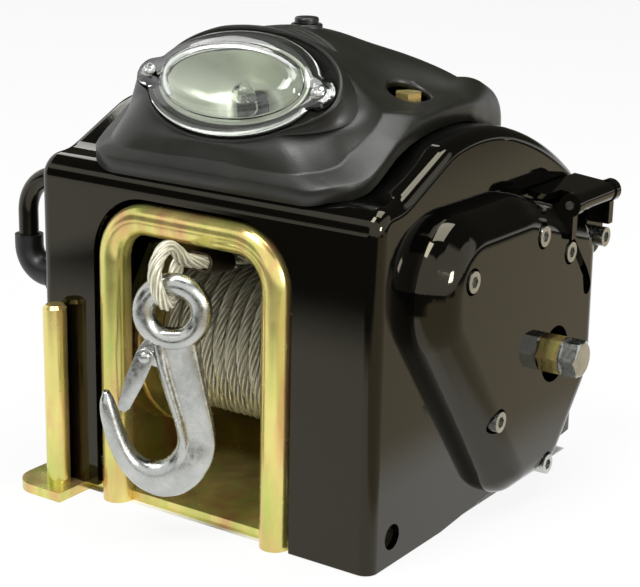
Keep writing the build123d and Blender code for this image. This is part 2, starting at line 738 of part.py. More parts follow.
# Top cover, a moulded shell with the lamp pod on its front
with BuildPart() as top_cover:
    loft([top_section(*each) for each in TOP_SECTIONS])
    extrude(lamp_ellipse(POD_HALF_W, POD_HALF_H, -POD_DEPTH, POD_SHIFT), amount=POD_DEPTH + POD_RISE)
    pod_face = top_cover.faces().sort_by(Axis(LAMP_PLANE.origin, LAMP_PLANE.z_dir))[-1]
    fillet(pod_face.edges(), POD_ROUND)
    add(lamp_brow.part)
    # The cavity starts behind the chin
    inner_sections = []
    for station, half, shoulder, crown, flank in TOP_SECTIONS[2:-1]:
        walls = (half - TOP_WALL, shoulder - TOP_WALL, crown - TOP_WALL)
        inner_sections.append(top_section(station, *walls, flank))
    loft(inner_sections, mode=Mode.SUBTRACT)
    add(pocket_walls.part)
    # The underside follows the housing
    underside = housing_outline(-MOVING_GAP)
    extrude(underside, amount=HOUSING_W + 2 * MOVING_GAP, mode=Mode.SUBTRACT)
    # Seat for the lens and hole for the reflector
    beyond = LAMP_HALF_H
    seat = lamp_ellipse(LAMP_HALF_W + LENS_GAP, LAMP_HALF_H + LENS_GAP, 0)
    extrude(seat, amount=beyond, mode=Mode.SUBTRACT)
    hole = lamp_ellipse(LAMP_HALF_W - LAMP_LEDGE, LAMP_HALF_H - LAMP_LEDGE, beyond)
    extrude(hole, amount=-2 * beyond - POD_DEPTH, mode=Mode.SUBTRACT)
    for side in (-1, 1):
        disc_lamp(LAMP_EAR_R + LENS_GAP, 0, beyond, side * LAMP_EAR, Mode.SUBTRACT)
        disc_lamp(LAMP_SCREW_R + SEAT_GAP, -LAMP_SCREW_LENGTH - 1, 1, side * LAMP_EAR, Mode.SUBTRACT)
    # Pockets for the two hold-down screws, and the button's hole
    for side in (-1, 1):
        screw_at = (side * TOP_SCREW[0], TOP_SCREW[1])
        disc_z(TOP_POCKET_R, TOP_POCKET_FLOOR, 2 * ARCH_TOP, screw_at, Mode.SUBTRACT)
        disc_z(SCREW_R + SCREW_PLAY, SHELF_Z, 2 * ARCH_TOP, screw_at, Mode.SUBTRACT)
    disc_z(NECK_R + SEAT_GAP, ARCH_TOP, 2 * ARCH_TOP, (BUTTON_X, BUTTON_Y), Mode.SUBTRACT)
finish(top_cover.part, "top_cover")

# Hold-down screws of the top cover
with BuildPart() as top_screws:
    for side in (-1, 1):
        screw_at = (side * TOP_SCREW[0], TOP_SCREW[1])
        disc_z(SCREW_R - SEAT_GAP, ARCH_TOP - 14, TOP_POCKET_FLOOR, screw_at)
        disc_z(TOP_SCREW_HEX / 2 + 2, TOP_POCKET_FLOOR, TOP_POCKET_FLOOR + 1.2, screw_at)
        with BuildSketch(Plane.XY.offset(TOP_POCKET_FLOOR + 1.2)):
            with Locations(screw_at):
                RegularPolygon(TOP_SCREW_HEX / 2, 6, major_radius=False)
        extrude(amount=TOP_SCREW_HEAD_T)
finish(top_screws.part, "top_cover_screws")

# Lamp gasket, lens, reflector, socket, bulb and screws, stacked along the lamp's normal
with BuildPart() as lamp_gasket:
    extrude(lamp_ellipse(LAMP_HALF_W, LAMP_HALF_H, 0), amount=GASKET_T)
    for side in (-1, 1):
        disc_lamp(LAMP_EAR_R, 0, GASKET_T, side * LAMP_EAR)
    gasket_hole = lamp_ellipse(LAMP_HALF_W - LAMP_LEDGE, LAMP_HALF_H - LAMP_LEDGE, 0)
    extrude(gasket_hole, amount=GASKET_T, mode=Mode.SUBTRACT)
    for side in (-1, 1):
        disc_lamp(LAMP_SCREW_R + SCREW_PLAY, -1, GASKET_T + 1, side * LAMP_EAR, Mode.SUBTRACT)
finish(lamp_gasket.part, "lamp_gasket")

LENS_TOP = GASKET_T + LAMP_RIM_T
DOME_W = LAMP_HALF_W - LAMP_LEDGE
DOME_H = LAMP_HALF_H - LAMP_LEDGE
with BuildPart() as lamp_lens:
    extrude(lamp_ellipse(LAMP_HALF_W, LAMP_HALF_H, GASKET_T), amount=LAMP_RIM_T)
    for side in (-1, 1):
        disc_lamp(LAMP_EAR_R, GASKET_T, LENS_TOP, side * LAMP_EAR)
    dome_top = LENS_TOP + LAMP_DOME_H
    loft([lamp_ellipse(DOME_W, DOME_H, LENS_TOP), lamp_ellipse(DOME_W - 4, DOME_H - 4, dome_top)])
    dome_face = lamp_lens.faces().sort_by(Axis(LAMP_PLANE.origin, LAMP_PLANE.z_dir))[-1]
    fillet(dome_face.edges(), LAMP_DOME_ROUND)
    inside_low = lamp_ellipse(DOME_W - LAMP_WALL, DOME_H - LAMP_WALL, GASKET_T)
    inside_high = lamp_ellipse(DOME_W - 4 - LAMP_WALL, DOME_H - 4 - LAMP_WALL, dome_top - LAMP_WALL)
    loft([inside_low, inside_high], mode=Mode.SUBTRACT)
    for side in (-1, 1):
        disc_lamp(LAMP_SCREW_R + SCREW_PLAY, 0, LENS_TOP + 1, side * LAMP_EAR, Mode.SUBTRACT)
finish(lamp_lens.part, "lamp_lens")

BOWL_W = DOME_W - MOVING_GAP
BOWL_H = DOME_H - MOVING_GAP
with BuildPart() as lamp_reflector:
    back = -REFLECTOR_DEPTH
    loft([lamp_ellipse(BOWL_W, BOWL_H, GASKET_T), lamp_ellipse(BOWL_W * 0.6, BOWL_H * 0.6, back)])
    bowl_mouth = lamp_ellipse(BOWL_W - REFLECTOR_WALL, BOWL_H - REFLECTOR_WALL, GASKET_T)
    bowl_floor = lamp_ellipse(
        BOWL_W * 0.6 - REFLECTOR_WALL, BOWL_H * 0.6 - REFLECTOR_WALL, back + REFLECTOR_WALL
    )
    loft([bowl_mouth, bowl_floor], mode=Mode.SUBTRACT)
    disc_lamp(SOCKET_R + SEAT_GAP, back - 1, back + 3, 0, Mode.SUBTRACT)
finish(lamp_reflector.part, "lamp_reflector")

SOCKET_FACE = -REFLECTOR_DEPTH + REFLECTOR_WALL + 1.5
with BuildPart() as lamp_socket:
    disc_lamp(SOCKET_R, -REFLECTOR_DEPTH - SOCKET_DEPTH, SOCKET_FACE, 0)
    disc_lamp(SOCKET_R + 2.5, -REFLECTOR_DEPTH - 3, -REFLECTOR_DEPTH, 0)
    disc_lamp(BULB_R - 0.8, SOCKET_FACE - 6, SOCKET_FACE + 1, 0, Mode.SUBTRACT)
finish(lamp_socket.part, "lamp_socket")

with BuildPart() as lamp_bulb:
    disc_lamp(BULB_R, SOCKET_FACE, SOCKET_FACE + BULB_LENGTH, 0)
    bulb_tip = lamp_bulb.faces().sort_by(Axis(LAMP_PLANE.origin, LAMP_PLANE.z_dir))[-1]
    fillet(bulb_tip.edges(), BULB_R - 0.6)
    disc_lamp(BULB_R - 0.8 - SEAT_GAP, SOCKET_FACE - 5, SOCKET_FACE, 0)
finish(lamp_bulb.part, "lamp_bulb")

with BuildPart() as lamp_screws:
    for side in (-1, 1):
        disc_lamp(LAMP_SCREW_R, -LAMP_SCREW_LENGTH, LENS_TOP, side * LAMP_EAR)
        disc_lamp(LAMP_SCREW_HEAD_R, LENS_TOP, LENS_TOP + LAMP_SCREW_HEAD_T, side * LAMP_EAR)
finish(lamp_screws.part, "lamp_screws")

# Lamp button and the switch whose neck comes up through the roof of the top cover
BUTTON_AT = (BUTTON_X, BUTTON_Y)
HEAD_LOW = NECK_TOP + BUTTON_TRAVEL + MOVING_GAP
STEM_LOW = NECK_TOP - SWITCH_DEPTH
with BuildPart() as lamp_button:
    disc_z(BUTTON_HEAD_R, HEAD_LOW, HEAD_LOW + BUTTON_HEAD_T, BUTTON_AT)
    fillet(lamp_button.edges().group_by(Axis.Z)[-1], 1.2)
    disc_z(BUTTON_STEM_R, STEM_LOW, HEAD_LOW, BUTTON_AT)
finish(lamp_button.part, "lamp_button")

with BuildPart() as lamp_switch:
    disc_z(NECK_R, SWITCH_TOP, NECK_TOP, BUTTON_AT)
    bore_low = STEM_LOW - BUTTON_TRAVEL - MOVING_GAP
    block(
        (BUTTON_X - SWITCH_HALF, BUTTON_Y - SWITCH_HALF, bore_low - TOP_WALL),
        (BUTTON_X + SWITCH_HALF, BUTTON_Y + SWITCH_HALF, SWITCH_TOP),
    )
    disc_z(BUTTON_STEM_R + RUNNING, bore_low, NECK_TOP + 1, BUTTON_AT, Mode.SUBTRACT)
finish(lamp_switch.part, "lamp_switch")

# Gear cover, a rounded lid on the right wall
with BuildPart() as cover_form:
    slope_left = HOUSING_RIGHT + COVER_SIDE
    extrude(cover_outline(HOUSING_RIGHT, 0), amount=COVER_SIDE)
    loft([cover_outline(slope_left, 0), cover_outline(COVER_FACE, COVER_SLOPE)], ruled=True)
    fillet(cover_form.edges().filter_by_position(Axis.X, slope_left, slope_left), COVER_ROUND)
    fillet(cover_form.faces().sort_by(Axis.X)[-1].edges(), COVER_ROUND)

with BuildPart() as cover_inside:
    slope_end = COVER_FACE - COVER_WALL
    extrude(cover_outline(HOUSING_RIGHT, COVER_WALL), amount=COVER_SIDE - COVER_WALL)
    inside_low = cover_outline(slope_left - COVER_WALL, COVER_WALL)
    loft([inside_low, cover_outline(slope_end, COVER_SLOPE + 2 * COVER_WALL)], ruled=True)

with BuildPart() as cover_bosses:
    add(cover_form.part)
    with BuildSketch(Plane.YZ.offset(HOUSING_RIGHT)) as boss_circles:
        with Locations(*COVER_SCREWS):
            Circle(COUNTERBORE_R + COVER_WALL)
    extrude(boss_circles.sketch, amount=COVER_DEPTH, mode=Mode.INTERSECT)

with BuildPart() as gear_cover:
    add(cover_form.part)
    add(cover_inside.part, mode=Mode.SUBTRACT)
    add(cover_bosses.part)
    # Ear at the rear for the last screw and the lever's rear lug
    with BuildSketch(Plane.YZ.offset(HOUSING_RIGHT)):
        with Locations(COVER_SCREWS[3], COVER_EAR_TOP):
            Circle(COUNTERBORE_R + COVER_WALL)
        make_hull()
    extrude(amount=SCREW_SEAT)
    # Lugs for the lever's pin
    for low_y, high_y in LEVER_LUGS:
        disc_y(LUG_R, low_y, high_y, (LEVER_X, LEVER_Z))
        block((SEAT_X - COVER_WALL, low_y, LEVER_Z - LUG_FOOT), (LEVER_X + LEVER_PIN_R, high_y, LEVER_Z))
        disc_y(LEVER_PIN_R + SEAT_GAP, low_y - 1, high_y + 1, (LEVER_X, LEVER_Z), Mode.SUBTRACT)
    # Screw seats, the clutch hole and the lever's groove
    for screw_at in COVER_SCREWS:
        disc_x(COUNTERBORE_R, SEAT_X, COVER_FACE + 5, screw_at, Mode.SUBTRACT)
        disc_x(SCREW_R + SCREW_PLAY, HOUSING_RIGHT - 1, COVER_FACE, screw_at, Mode.SUBTRACT)
    disc_x(COVER_HOLE_R, HOUSING_RIGHT, COVER_FACE + 5, CLUTCH_AXIS, Mode.SUBTRACT)
    with BuildSketch(Plane.YZ.offset(COVER_FACE)):
        with Locations(GROOVE_TOP, GROOVE_END):
            Circle(GROOVE_W / 2)
        make_hull()
    extrude(amount=-GROOVE_DEPTH, mode=Mode.SUBTRACT)
    with BuildSketch(Plane.YZ.offset(COVER_FACE)):
        with Locations(SLOT_TOP):
            Circle(GROOVE_W / 2)
        with Locations(SLOT_END):
            Circle(SLOT_W / 2)
        make_hull()
    extrude(amount=-COVER_WALL - GROOVE_DEPTH, mode=Mode.SUBTRACT)
finish(gear_cover.part, "gear_cover")

with BuildPart() as cover_screws:
    for screw_at in COVER_SCREWS:
        disc_x(SCREW_R, HOUSING_RIGHT - WALL - CLINCH_NUT_T, SEAT_X, screw_at)
        disc_x(SCREW_HEAD_R, SEAT_X, SEAT_X + SCREW_HEAD_T, screw_at)
        head_end = SEAT_X + SCREW_HEAD_T
        hexagon_x(SCREW_R * 1.5, SEAT_X + SCREW_HEAD_T / 2, head_end, screw_at, Mode.SUBTRACT)
finish(cover_screws.part, "gear_cover_screws")

with BuildPart() as clinch_nuts:
    for screw_at in COVER_SCREWS:
        disc_x(CLINCH_NUT_R, HOUSING_RIGHT - WALL - CLINCH_NUT_T, HOUSING_RIGHT - WALL, screw_at)
        disc_x(SCREW_R + SEAT_GAP, 0, HOUSING_RIGHT, screw_at, Mode.SUBTRACT)
finish(clinch_nuts.part, "cover_clinch_nuts")

# Release lever and its pin
LEVER_AXIS = (LEVER_X, LEVER_Z)
with BuildPart() as release_lever:
    disc_y(LEVER_BARREL_R, LEVER_FRONT, LEVER_REAR, LEVER_AXIS)
    top_of_barrel = LEVER_Z + LEVER_BARREL_R
    tip_x = LEVER_X - LUG_R - GROOVE_DEPTH
    for start, end, outer_x in ((LEVER_FRONT, LEVER_REAR, LEVER_X), (LEVER_TIP, LEVER_FRONT, tip_x)):
        fall = (LEVER_INNER_Z - top_of_barrel) * (LEVER_X - outer_x) / (LEVER_X - LEVER_INNER_X)
        with BuildSketch(Plane.XZ.offset(-start)) as flap:
            with BuildLine():
                Polyline(
                    (LEVER_INNER_X, LEVER_INNER_Z),
                    (outer_x, top_of_barrel + fall),
                    (outer_x, top_of_barrel + fall - LEVER_PLATE_T),
                    (LEVER_INNER_X, LEVER_INNER_Z - LEVER_PLATE_T),
                    close=True,
                )
            make_face()
        extrude(flap.sketch, amount=start - end)
    disc_y(LEVER_PIN_R + RUNNING, LEVER_FRONT - 1, LEVER_REAR + 1, LEVER_AXIS, Mode.SUBTRACT)
finish(release_lever.part, "release_lever")

with BuildPart() as lever_pin:
    disc_y(LEVER_PIN_R, LEVER_LUGS[0][0] - 0.5, LEVER_LUGS[1][1] + 0.5, LEVER_AXIS)
finish(lever_pin.part, "lever_pin")

# Drum with its shaft, bushes, rings, gear and key
HUB_LEFT = LEFT_PLATE + PLATE_T + BUSH_FLANGE_T + MOVING_GAP
HUB_RIGHT = RIGHT_PLATE - PLATE_T - BUSH_FLANGE_T - MOVING_GAP
GEAR_HUB_LEFT = RIGHT_PLATE + MOVING_GAP
GEAR_HUB_RIGHT = FIRST_LAYER[1] + 4
RING_RIGHT = GEAR_HUB_RIGHT + SEAT_GAP + RING_T
RING_LEFT = LEFT_PLATE - MOVING_GAP - RING_T
SHAFT_LEFT = RING_LEFT - 1
SHAFT_RIGHT = RING_RIGHT + 1
with BuildPart() as drum:
    disc_x(DRUM_HUB_R, HUB_LEFT, HUB_RIGHT, DRUM_AXIS)
    disc_x(FLANGE_R, DRUM_LEFT - FLANGE_T, DRUM_LEFT, DRUM_AXIS)
    disc_x(FLANGE_R, DRUM_RIGHT, DRUM_RIGHT + FLANGE_T, DRUM_AXIS)
    fillet(drum.edges().filter_by(GeomType.CIRCLE).filter_by(lambda e: e.radius > FLANGE_R - 1), 1.0)
    disc_x(DRUM_SHAFT_R + SEAT_GAP, HUB_LEFT - 1, HUB_RIGHT + 1, DRUM_AXIS, Mode.SUBTRACT)
finish(drum.part, "drum")

KEY_TOP = DRUM_AXIS[1] + DRUM_SHAFT_R + KEY_SIZE / 2
KEY_LOW = KEY_TOP - KEY_SIZE
KEY_SPAN = (FIRST_LAYER[0] + 1, GEAR_HUB_RIGHT - 1)
with BuildPart() as drum_shaft:
    disc_x(DRUM_SHAFT_R, SHAFT_LEFT, SHAFT_RIGHT, DRUM_AXIS)
    key_half = KEY_SIZE / 2 + SEAT_GAP
    block(
        (KEY_SPAN[0] - SEAT_GAP, DRUM_AXIS[0] - key_half, KEY_LOW - SEAT_GAP),
        (KEY_SPAN[1] + SEAT_GAP, DRUM_AXIS[0] + key_half, KEY_TOP + 5),
        Mode.SUBTRACT,
    )
finish(drum_shaft.part, "drum_shaft")

with BuildPart() as drum_key:
    block(
        (KEY_SPAN[0], DRUM_AXIS[0] - KEY_SIZE / 2, KEY_LOW),
        (KEY_SPAN[1], DRUM_AXIS[0] + KEY_SIZE / 2, KEY_TOP),
    )
finish(drum_key.part, "drum_key")

with BuildPart() as drum_gear:
    drum_phase = bearing(DRUM_AXIS, CLUTCH_AXIS) + 180 / DRUM_TEETH
    gear_x(DRUM_TEETH, DRUM_MODULE, *FIRST_LAYER, DRUM_AXIS, drum_phase)
    disc_x(DRUM_GEAR_HUB_R, GEAR_HUB_LEFT, GEAR_HUB_RIGHT, DRUM_AXIS)
    disc_x(DRUM_SHAFT_R + SEAT_GAP, GEAR_HUB_LEFT - 1, GEAR_HUB_RIGHT + 1, DRUM_AXIS, Mode.SUBTRACT)
    block(
        (GEAR_HUB_LEFT - 1, DRUM_AXIS[0] - key_half, DRUM_AXIS[1]),
        (GEAR_HUB_RIGHT + 1, DRUM_AXIS[0] + key_half, KEY_TOP + SEAT_GAP),
        Mode.SUBTRACT,
    )
finish(drum_gear.part, "drum_gear")

with BuildPart() as drum_rings:
    for ring_left in (RING_LEFT, GEAR_HUB_RIGHT + SEAT_GAP):
        disc_x(DRUM_SHAFT_R + 3, ring_left, ring_left + RING_T, DRUM_AXIS)
        disc_x(DRUM_SHAFT_R + SEAT_GAP, ring_left - 1, ring_left + RING_T + 1, DRUM_AXIS, Mode.SUBTRACT)
finish(drum_rings.part, "drum_rings")

with BuildPart() as drum_bushes:
    bush_outer = DRUM_SHAFT_R + BUSH_WALL
    disc_x(bush_outer, LEFT_PLATE, LEFT_PLATE + PLATE_T, DRUM_AXIS)
    disc_x(bush_outer + 3, LEFT_PLATE + PLATE_T, LEFT_PLATE + PLATE_T + BUSH_FLANGE_T, DRUM_AXIS)
    disc_x(bush_outer, RIGHT_PLATE - PLATE_T, RIGHT_PLATE, DRUM_AXIS)
    disc_x(bush_outer + 3, RIGHT_PLATE - PLATE_T - BUSH_FLANGE_T, RIGHT_PLATE - PLATE_T, DRUM_AXIS)
    disc_x(DRUM_SHAFT_R + RUNNING, LEFT_PLATE - 1, RIGHT_PLATE + 1, DRUM_AXIS, Mode.SUBTRACT)
finish(drum_bushes.part, "drum_bushes")

# Clutch shaft with its pinion, bush, gear, linings, pressure plate, springs, nut and crank head
SHOULDER_LEFT = SECOND_LAYER[0] - LINING_T - SHOULDER_T
with BuildPart() as clutch_shaft:
    disc_x(CLUTCH_JOURNAL_R, CLUTCH_BUSH_LEFT - 1, FIRST_LAYER[0], CLUTCH_AXIS)
    pinion_phase = bearing(CLUTCH_AXIS, DRUM_AXIS)
    gear_x(CLUTCH_PINION_TEETH, DRUM_MODULE, FIRST_LAYER[0] - 1, SHOULDER_LEFT, CLUTCH_AXIS, pinion_phase)
    disc_x(LINING_R, SHOULDER_LEFT, SHOULDER_LEFT + SHOULDER_T, CLUTCH_AXIS)
    disc_x(CLUTCH_SHAFT_R, SHOULDER_LEFT, SPRING_END, CLUTCH_AXIS)
    disc_x(CLUTCH_THREAD_R, SPRING_END, CLUTCH_NUT_END - 1, CLUTCH_AXIS)
    disc_x(CRANK_SHANK_R + SEAT_GAP, CRANK_SHANK_END - 1, CLUTCH_NUT_END, CLUTCH_AXIS, Mode.SUBTRACT)
finish(clutch_shaft.part, "clutch_shaft")

with BuildPart() as clutch_bush:
    journal_outer = CLUTCH_JOURNAL_R + BUSH_WALL
    disc_x(journal_outer, CLUTCH_BUSH_LEFT, RIGHT_PLATE, CLUTCH_AXIS)
    disc_x(journal_outer + 3, RIGHT_PLATE - PLATE_T - BUSH_FLANGE_T, RIGHT_PLATE - PLATE_T, CLUTCH_AXIS)
    disc_x(CLUTCH_JOURNAL_R + RUNNING, CLUTCH_BUSH_LEFT - 1, RIGHT_PLATE + 1, CLUTCH_AXIS, Mode.SUBTRACT)
finish(clutch_bush.part, "clutch_bush")

with BuildPart() as clutch_gear:
    clutch_phase = bearing(CLUTCH_AXIS, IDLER_AXIS) + 180 / CLUTCH_TEETH
    gear_x(CLUTCH_TEETH, CLUTCH_MODULE, *SECOND_LAYER, CLUTCH_AXIS, clutch_phase)
    disc_x(CLUTCH_SHAFT_R + SEAT_GAP, SECOND_LAYER[0] - 1, SECOND_LAYER[1] + 1, CLUTCH_AXIS, Mode.SUBTRACT)
finish(clutch_gear.part, "clutch_gear")

with BuildPart() as clutch_linings:
    for left in (SECOND_LAYER[0] - LINING_T, SECOND_LAYER[1]):
        disc_x(LINING_R, left, left + LINING_T, CLUTCH_AXIS)
        disc_x(CLUTCH_SHAFT_R + SEAT_GAP, left - 1, left + LINING_T + 1, CLUTCH_AXIS, Mode.SUBTRACT)
finish(clutch_linings.part, "clutch_linings")

with BuildPart() as pressure_plate:
    disc_x(LINING_R, PRESSURE_LEFT, PRESSURE_LEFT + PRESSURE_PLATE_T, CLUTCH_AXIS)
    disc_x(CLUTCH_SHAFT_R + SEAT_GAP, PRESSURE_LEFT - 1, SPRING_END, CLUTCH_AXIS, Mode.SUBTRACT)
finish(pressure_plate.part, "pressure_plate")

with BuildPart() as clutch_spring:
    with BuildSketch(Plane.XZ.offset(-CLUTCH_AXIS[0])) as cone:
        spring_left = PRESSURE_LEFT + PRESSURE_PLATE_T
        near = CLUTCH_AXIS[1] + CLUTCH_SHAFT_R + SEAT_GAP
        far = near + SPRING_WIDTH
        with BuildLine():
            Polyline(
                (spring_left, far),
                (spring_left + SPRING_T / 2, far),
                (SPRING_END, near),
                (SPRING_END - SPRING_T / 2, near),
                close=True,
            )
        make_face()
    revolve(cone.sketch, axis=Axis((0, CLUTCH_AXIS[0], CLUTCH_AXIS[1]), (1, 0, 0)))
finish(clutch_spring.part, "clutch_spring")

with BuildPart() as clutch_nut:
    hexagon_x(CLUTCH_HEX, SPRING_END, CLUTCH_NUT_END, CLUTCH_AXIS)
    disc_x(CLUTCH_THREAD_R + SEAT_GAP, SPRING_END - 1, CLUTCH_NUT_END + 1, CLUTCH_AXIS, Mode.SUBTRACT)
finish(clutch_nut.part, "clutch_nut")

with BuildPart() as crank_head:
    disc_x(CLUTCH_HEX / 2 + 1, CLUTCH_NUT_END, CLUTCH_NUT_END + CRANK_WASHER_T, CLUTCH_AXIS)
    head_left = CLUTCH_NUT_END + CRANK_WASHER_T
    hexagon_x(CLUTCH_HEX, head_left, head_left + CRANK_HEAD_T, CLUTCH_AXIS)
    with BuildSketch(Plane.XZ.offset(-CLUTCH_AXIS[0]), mode=Mode.PRIVATE) as head_cone:
        corner = CLUTCH_AXIS[1] + CLUTCH_HEX / math.sqrt(3)
        head_right = head_left + CRANK_HEAD_T
        with BuildLine():
            Polyline(
                (head_left, CLUTCH_AXIS[1]),
                (head_left, corner + 1),
                (head_right - 1, corner + 0.2),
                (head_right, CLUTCH_AXIS[1] + CLUTCH_HEX / 2 - 0.4),
                (head_right, CLUTCH_AXIS[1]),
                close=True,
            )
        make_face()
    with BuildPart(mode=Mode.PRIVATE) as head_limit:
        revolve(head_cone.sketch, axis=Axis((0, CLUTCH_AXIS[0], CLUTCH_AXIS[1]), (1, 0, 0)))
        disc_x(CLUTCH_HEX / 2 + 1, CLUTCH_NUT_END, head_left, CLUTCH_AXIS)
    add(head_limit.part, mode=Mode.INTERSECT)
    disc_x(CRANK_SHANK_R, CRANK_SHANK_END, CLUTCH_NUT_END, CLUTCH_AXIS)
finish(crank_head.part, "crank_head")

# Idler gear and pinion on a fixed pin
IDLER_PIN_END = SECOND_LAYER[1] + 2.5
with BuildPart() as idler_pin:
    disc_x(IDLER_PIN_R, RIGHT_PLATE - PLATE_T, IDLER_PIN_END, IDLER_AXIS)
finish(idler_pin.part, "idler_pin")

with BuildPart() as idler_pinion:
    idler_phase = bearing(IDLER_AXIS, CLUTCH_AXIS)
    gear_x(IDLER_PINION_TEETH, CLUTCH_MODULE, SECOND_LAYER[0] - 1, SECOND_LAYER[1], IDLER_AXIS, idler_phase)
    disc_x(IDLER_HUB_R, GEAR_HUB_LEFT, SECOND_LAYER[0] - 1, IDLER_AXIS)
    disc_x(IDLER_PIN_R + RUNNING, GEAR_HUB_LEFT - 1, SECOND_LAYER[1] + 1, IDLER_AXIS, Mode.SUBTRACT)
finish(idler_pinion.part, "idler_pinion")

with BuildPart() as idler_gear:
    idler_gear_phase = bearing(IDLER_AXIS, MOTOR_AXIS) + 180 / IDLER_TEETH
    gear_x(IDLER_TEETH, MOTOR_MODULE, *FIRST_LAYER, IDLER_AXIS, idler_gear_phase)
    disc_x(IDLER_HUB_R + SEAT_GAP, FIRST_LAYER[0] - 1, FIRST_LAYER[1] + 1, IDLER_AXIS, Mode.SUBTRACT)
finish(idler_gear.part, "idler_gear")

with BuildPart() as idler_ring:
    ring_left = SECOND_LAYER[1] + MOVING_GAP
    disc_x(IDLER_PIN_R + 2, ring_left, ring_left + RING_T, IDLER_AXIS)
    disc_x(IDLER_PIN_R + SEAT_GAP, ring_left - 1, ring_left + RING_T + 1, IDLER_AXIS, Mode.SUBTRACT)
finish(idler_ring.part, "idler_ring")

# Motor: can, drive end, end bell, magnets, brushes, bushes, armature, shaft, pinion, screws
DRIVE_END = RIGHT_PLATE - PLATE_T
with BuildPart() as motor_can:
    disc_x(MOTOR_R, MOTOR_END, DRIVE_END - DRIVE_END_T, MOTOR_AXIS)
    disc_x(MOTOR_R - MOTOR_WALL, MOTOR_END - 1, DRIVE_END, MOTOR_AXIS, Mode.SUBTRACT)
finish(motor_can.part, "motor_can")

with BuildPart() as motor_drive_end:
    disc_x(MOTOR_R, DRIVE_END - DRIVE_END_T, DRIVE_END, MOTOR_AXIS)
    disc_x(PILOT_R, DRIVE_END, RIGHT_PLATE, MOTOR_AXIS)
    disc_x(MOTOR_SHAFT_R + BUSH_WALL + SEAT_GAP, DRIVE_END - 10, RIGHT_PLATE + 1, MOTOR_AXIS, Mode.SUBTRACT)
    for side in (-90, 90):
        screw_at = polar(MOTOR_AXIS, MOTOR_SCREW_PCD, MOTOR_ANGLE + side)
        disc_x(MOTOR_SCREW_R + SEAT_GAP, DRIVE_END - 10, RIGHT_PLATE, screw_at, Mode.SUBTRACT)
finish(motor_drive_end.part, "motor_drive_end")

with BuildPart() as motor_screws:
    for side in (-90, 90):
        screw_at = polar(MOTOR_AXIS, MOTOR_SCREW_PCD, MOTOR_ANGLE + side)
        disc_x(MOTOR_SCREW_R, DRIVE_END - DRIVE_END_T, RIGHT_PLATE, screw_at)
        disc_x(MOTOR_SCREW_R + 2, RIGHT_PLATE, RIGHT_PLATE + 3.5, screw_at)
finish(motor_screws.part, "motor_screws")

with BuildPart() as motor_end_bell:
    disc_x(MOTOR_R, BELL_END, MOTOR_END, MOTOR_AXIS)
    fillet(motor_end_bell.edges().group_by(Axis.X)[0], 4)
    disc_x(MOTOR_R - MOTOR_WALL, BELL_END + 3, MOTOR_END + 1, MOTOR_AXIS, Mode.SUBTRACT)
    disc_x(MOTOR_SHAFT_R + BUSH_WALL + 3, BELL_END + 2, BELL_END + 7, MOTOR_AXIS)
    disc_x(MOTOR_SHAFT_R + BUSH_WALL + SEAT_GAP, BELL_END + 2, MOTOR_END, MOTOR_AXIS, Mode.SUBTRACT)
finish(motor_end_bell.part, "motor_end_bell")

with BuildPart() as motor_bushes:
    for left, right in ((BELL_END + 2, BELL_END + 7), (DRIVE_END - DRIVE_END_T, RIGHT_PLATE)):
        disc_x(MOTOR_SHAFT_R + BUSH_WALL, left, right, MOTOR_AXIS)
        disc_x(MOTOR_SHAFT_R + RUNNING, left - 1, right + 1, MOTOR_AXIS, Mode.SUBTRACT)
finish(motor_bushes.part, "motor_bushes")

with BuildPart() as motor_magnets:
    disc_x(MOTOR_R - MOTOR_WALL - SEAT_GAP, -ARMATURE_HALF, ARMATURE_HALF, MOTOR_AXIS)
    disc_x(ARMATURE_R + 1, -ARMATURE_HALF - 1, ARMATURE_HALF + 1, MOTOR_AXIS, Mode.SUBTRACT)
    gap_half = MAGNET_GAP / 2
    block(
        (-2 * ARMATURE_HALF, MOTOR_AXIS[0] - gap_half, MOTOR_AXIS[1] - MOTOR_R),
        (2 * ARMATURE_HALF, MOTOR_AXIS[0] + gap_half, MOTOR_AXIS[1] + MOTOR_R),
        Mode.SUBTRACT,
    )
finish(motor_magnets.part, "motor_magnets")

with BuildPart() as motor_brushes:
    brush_left = -ARMATURE_HALF - 9
    for side in (-1, 1):
        inner_y = MOTOR_AXIS[0] + side * (COMMUTATOR_R + MOVING_GAP)
        outer_y = MOTOR_AXIS[0] + side * (MOTOR_R - MOTOR_WALL - 0.4)
        block(
            (brush_left, min(inner_y, outer_y), MOTOR_AXIS[1] - BRUSH_HALF),
            (brush_left + 2 * BRUSH_HALF, max(inner_y, outer_y), MOTOR_AXIS[1] + BRUSH_HALF),
        )
finish(motor_brushes.part, "motor_brushes")

with BuildPart() as motor_shaft:
    disc_x(MOTOR_SHAFT_R, BELL_END + 2.5, RIGHT_PLATE + 1, MOTOR_AXIS)
    disc_x(MOTOR_PINION_BORE, RIGHT_PLATE + 1, FIRST_LAYER[1] + 1, MOTOR_AXIS)
finish(motor_shaft.part, "motor_shaft")

with BuildPart() as motor_pinion:
    gear_x(MOTOR_PINION_TEETH, MOTOR_MODULE, *FIRST_LAYER, MOTOR_AXIS, bearing(MOTOR_AXIS, IDLER_AXIS))
    disc_x(MOTOR_PINION_BORE + SEAT_GAP, FIRST_LAYER[0] - 1, FIRST_LAYER[1] + 1, MOTOR_AXIS, Mode.SUBTRACT)
finish(motor_pinion.part, "motor_pinion")

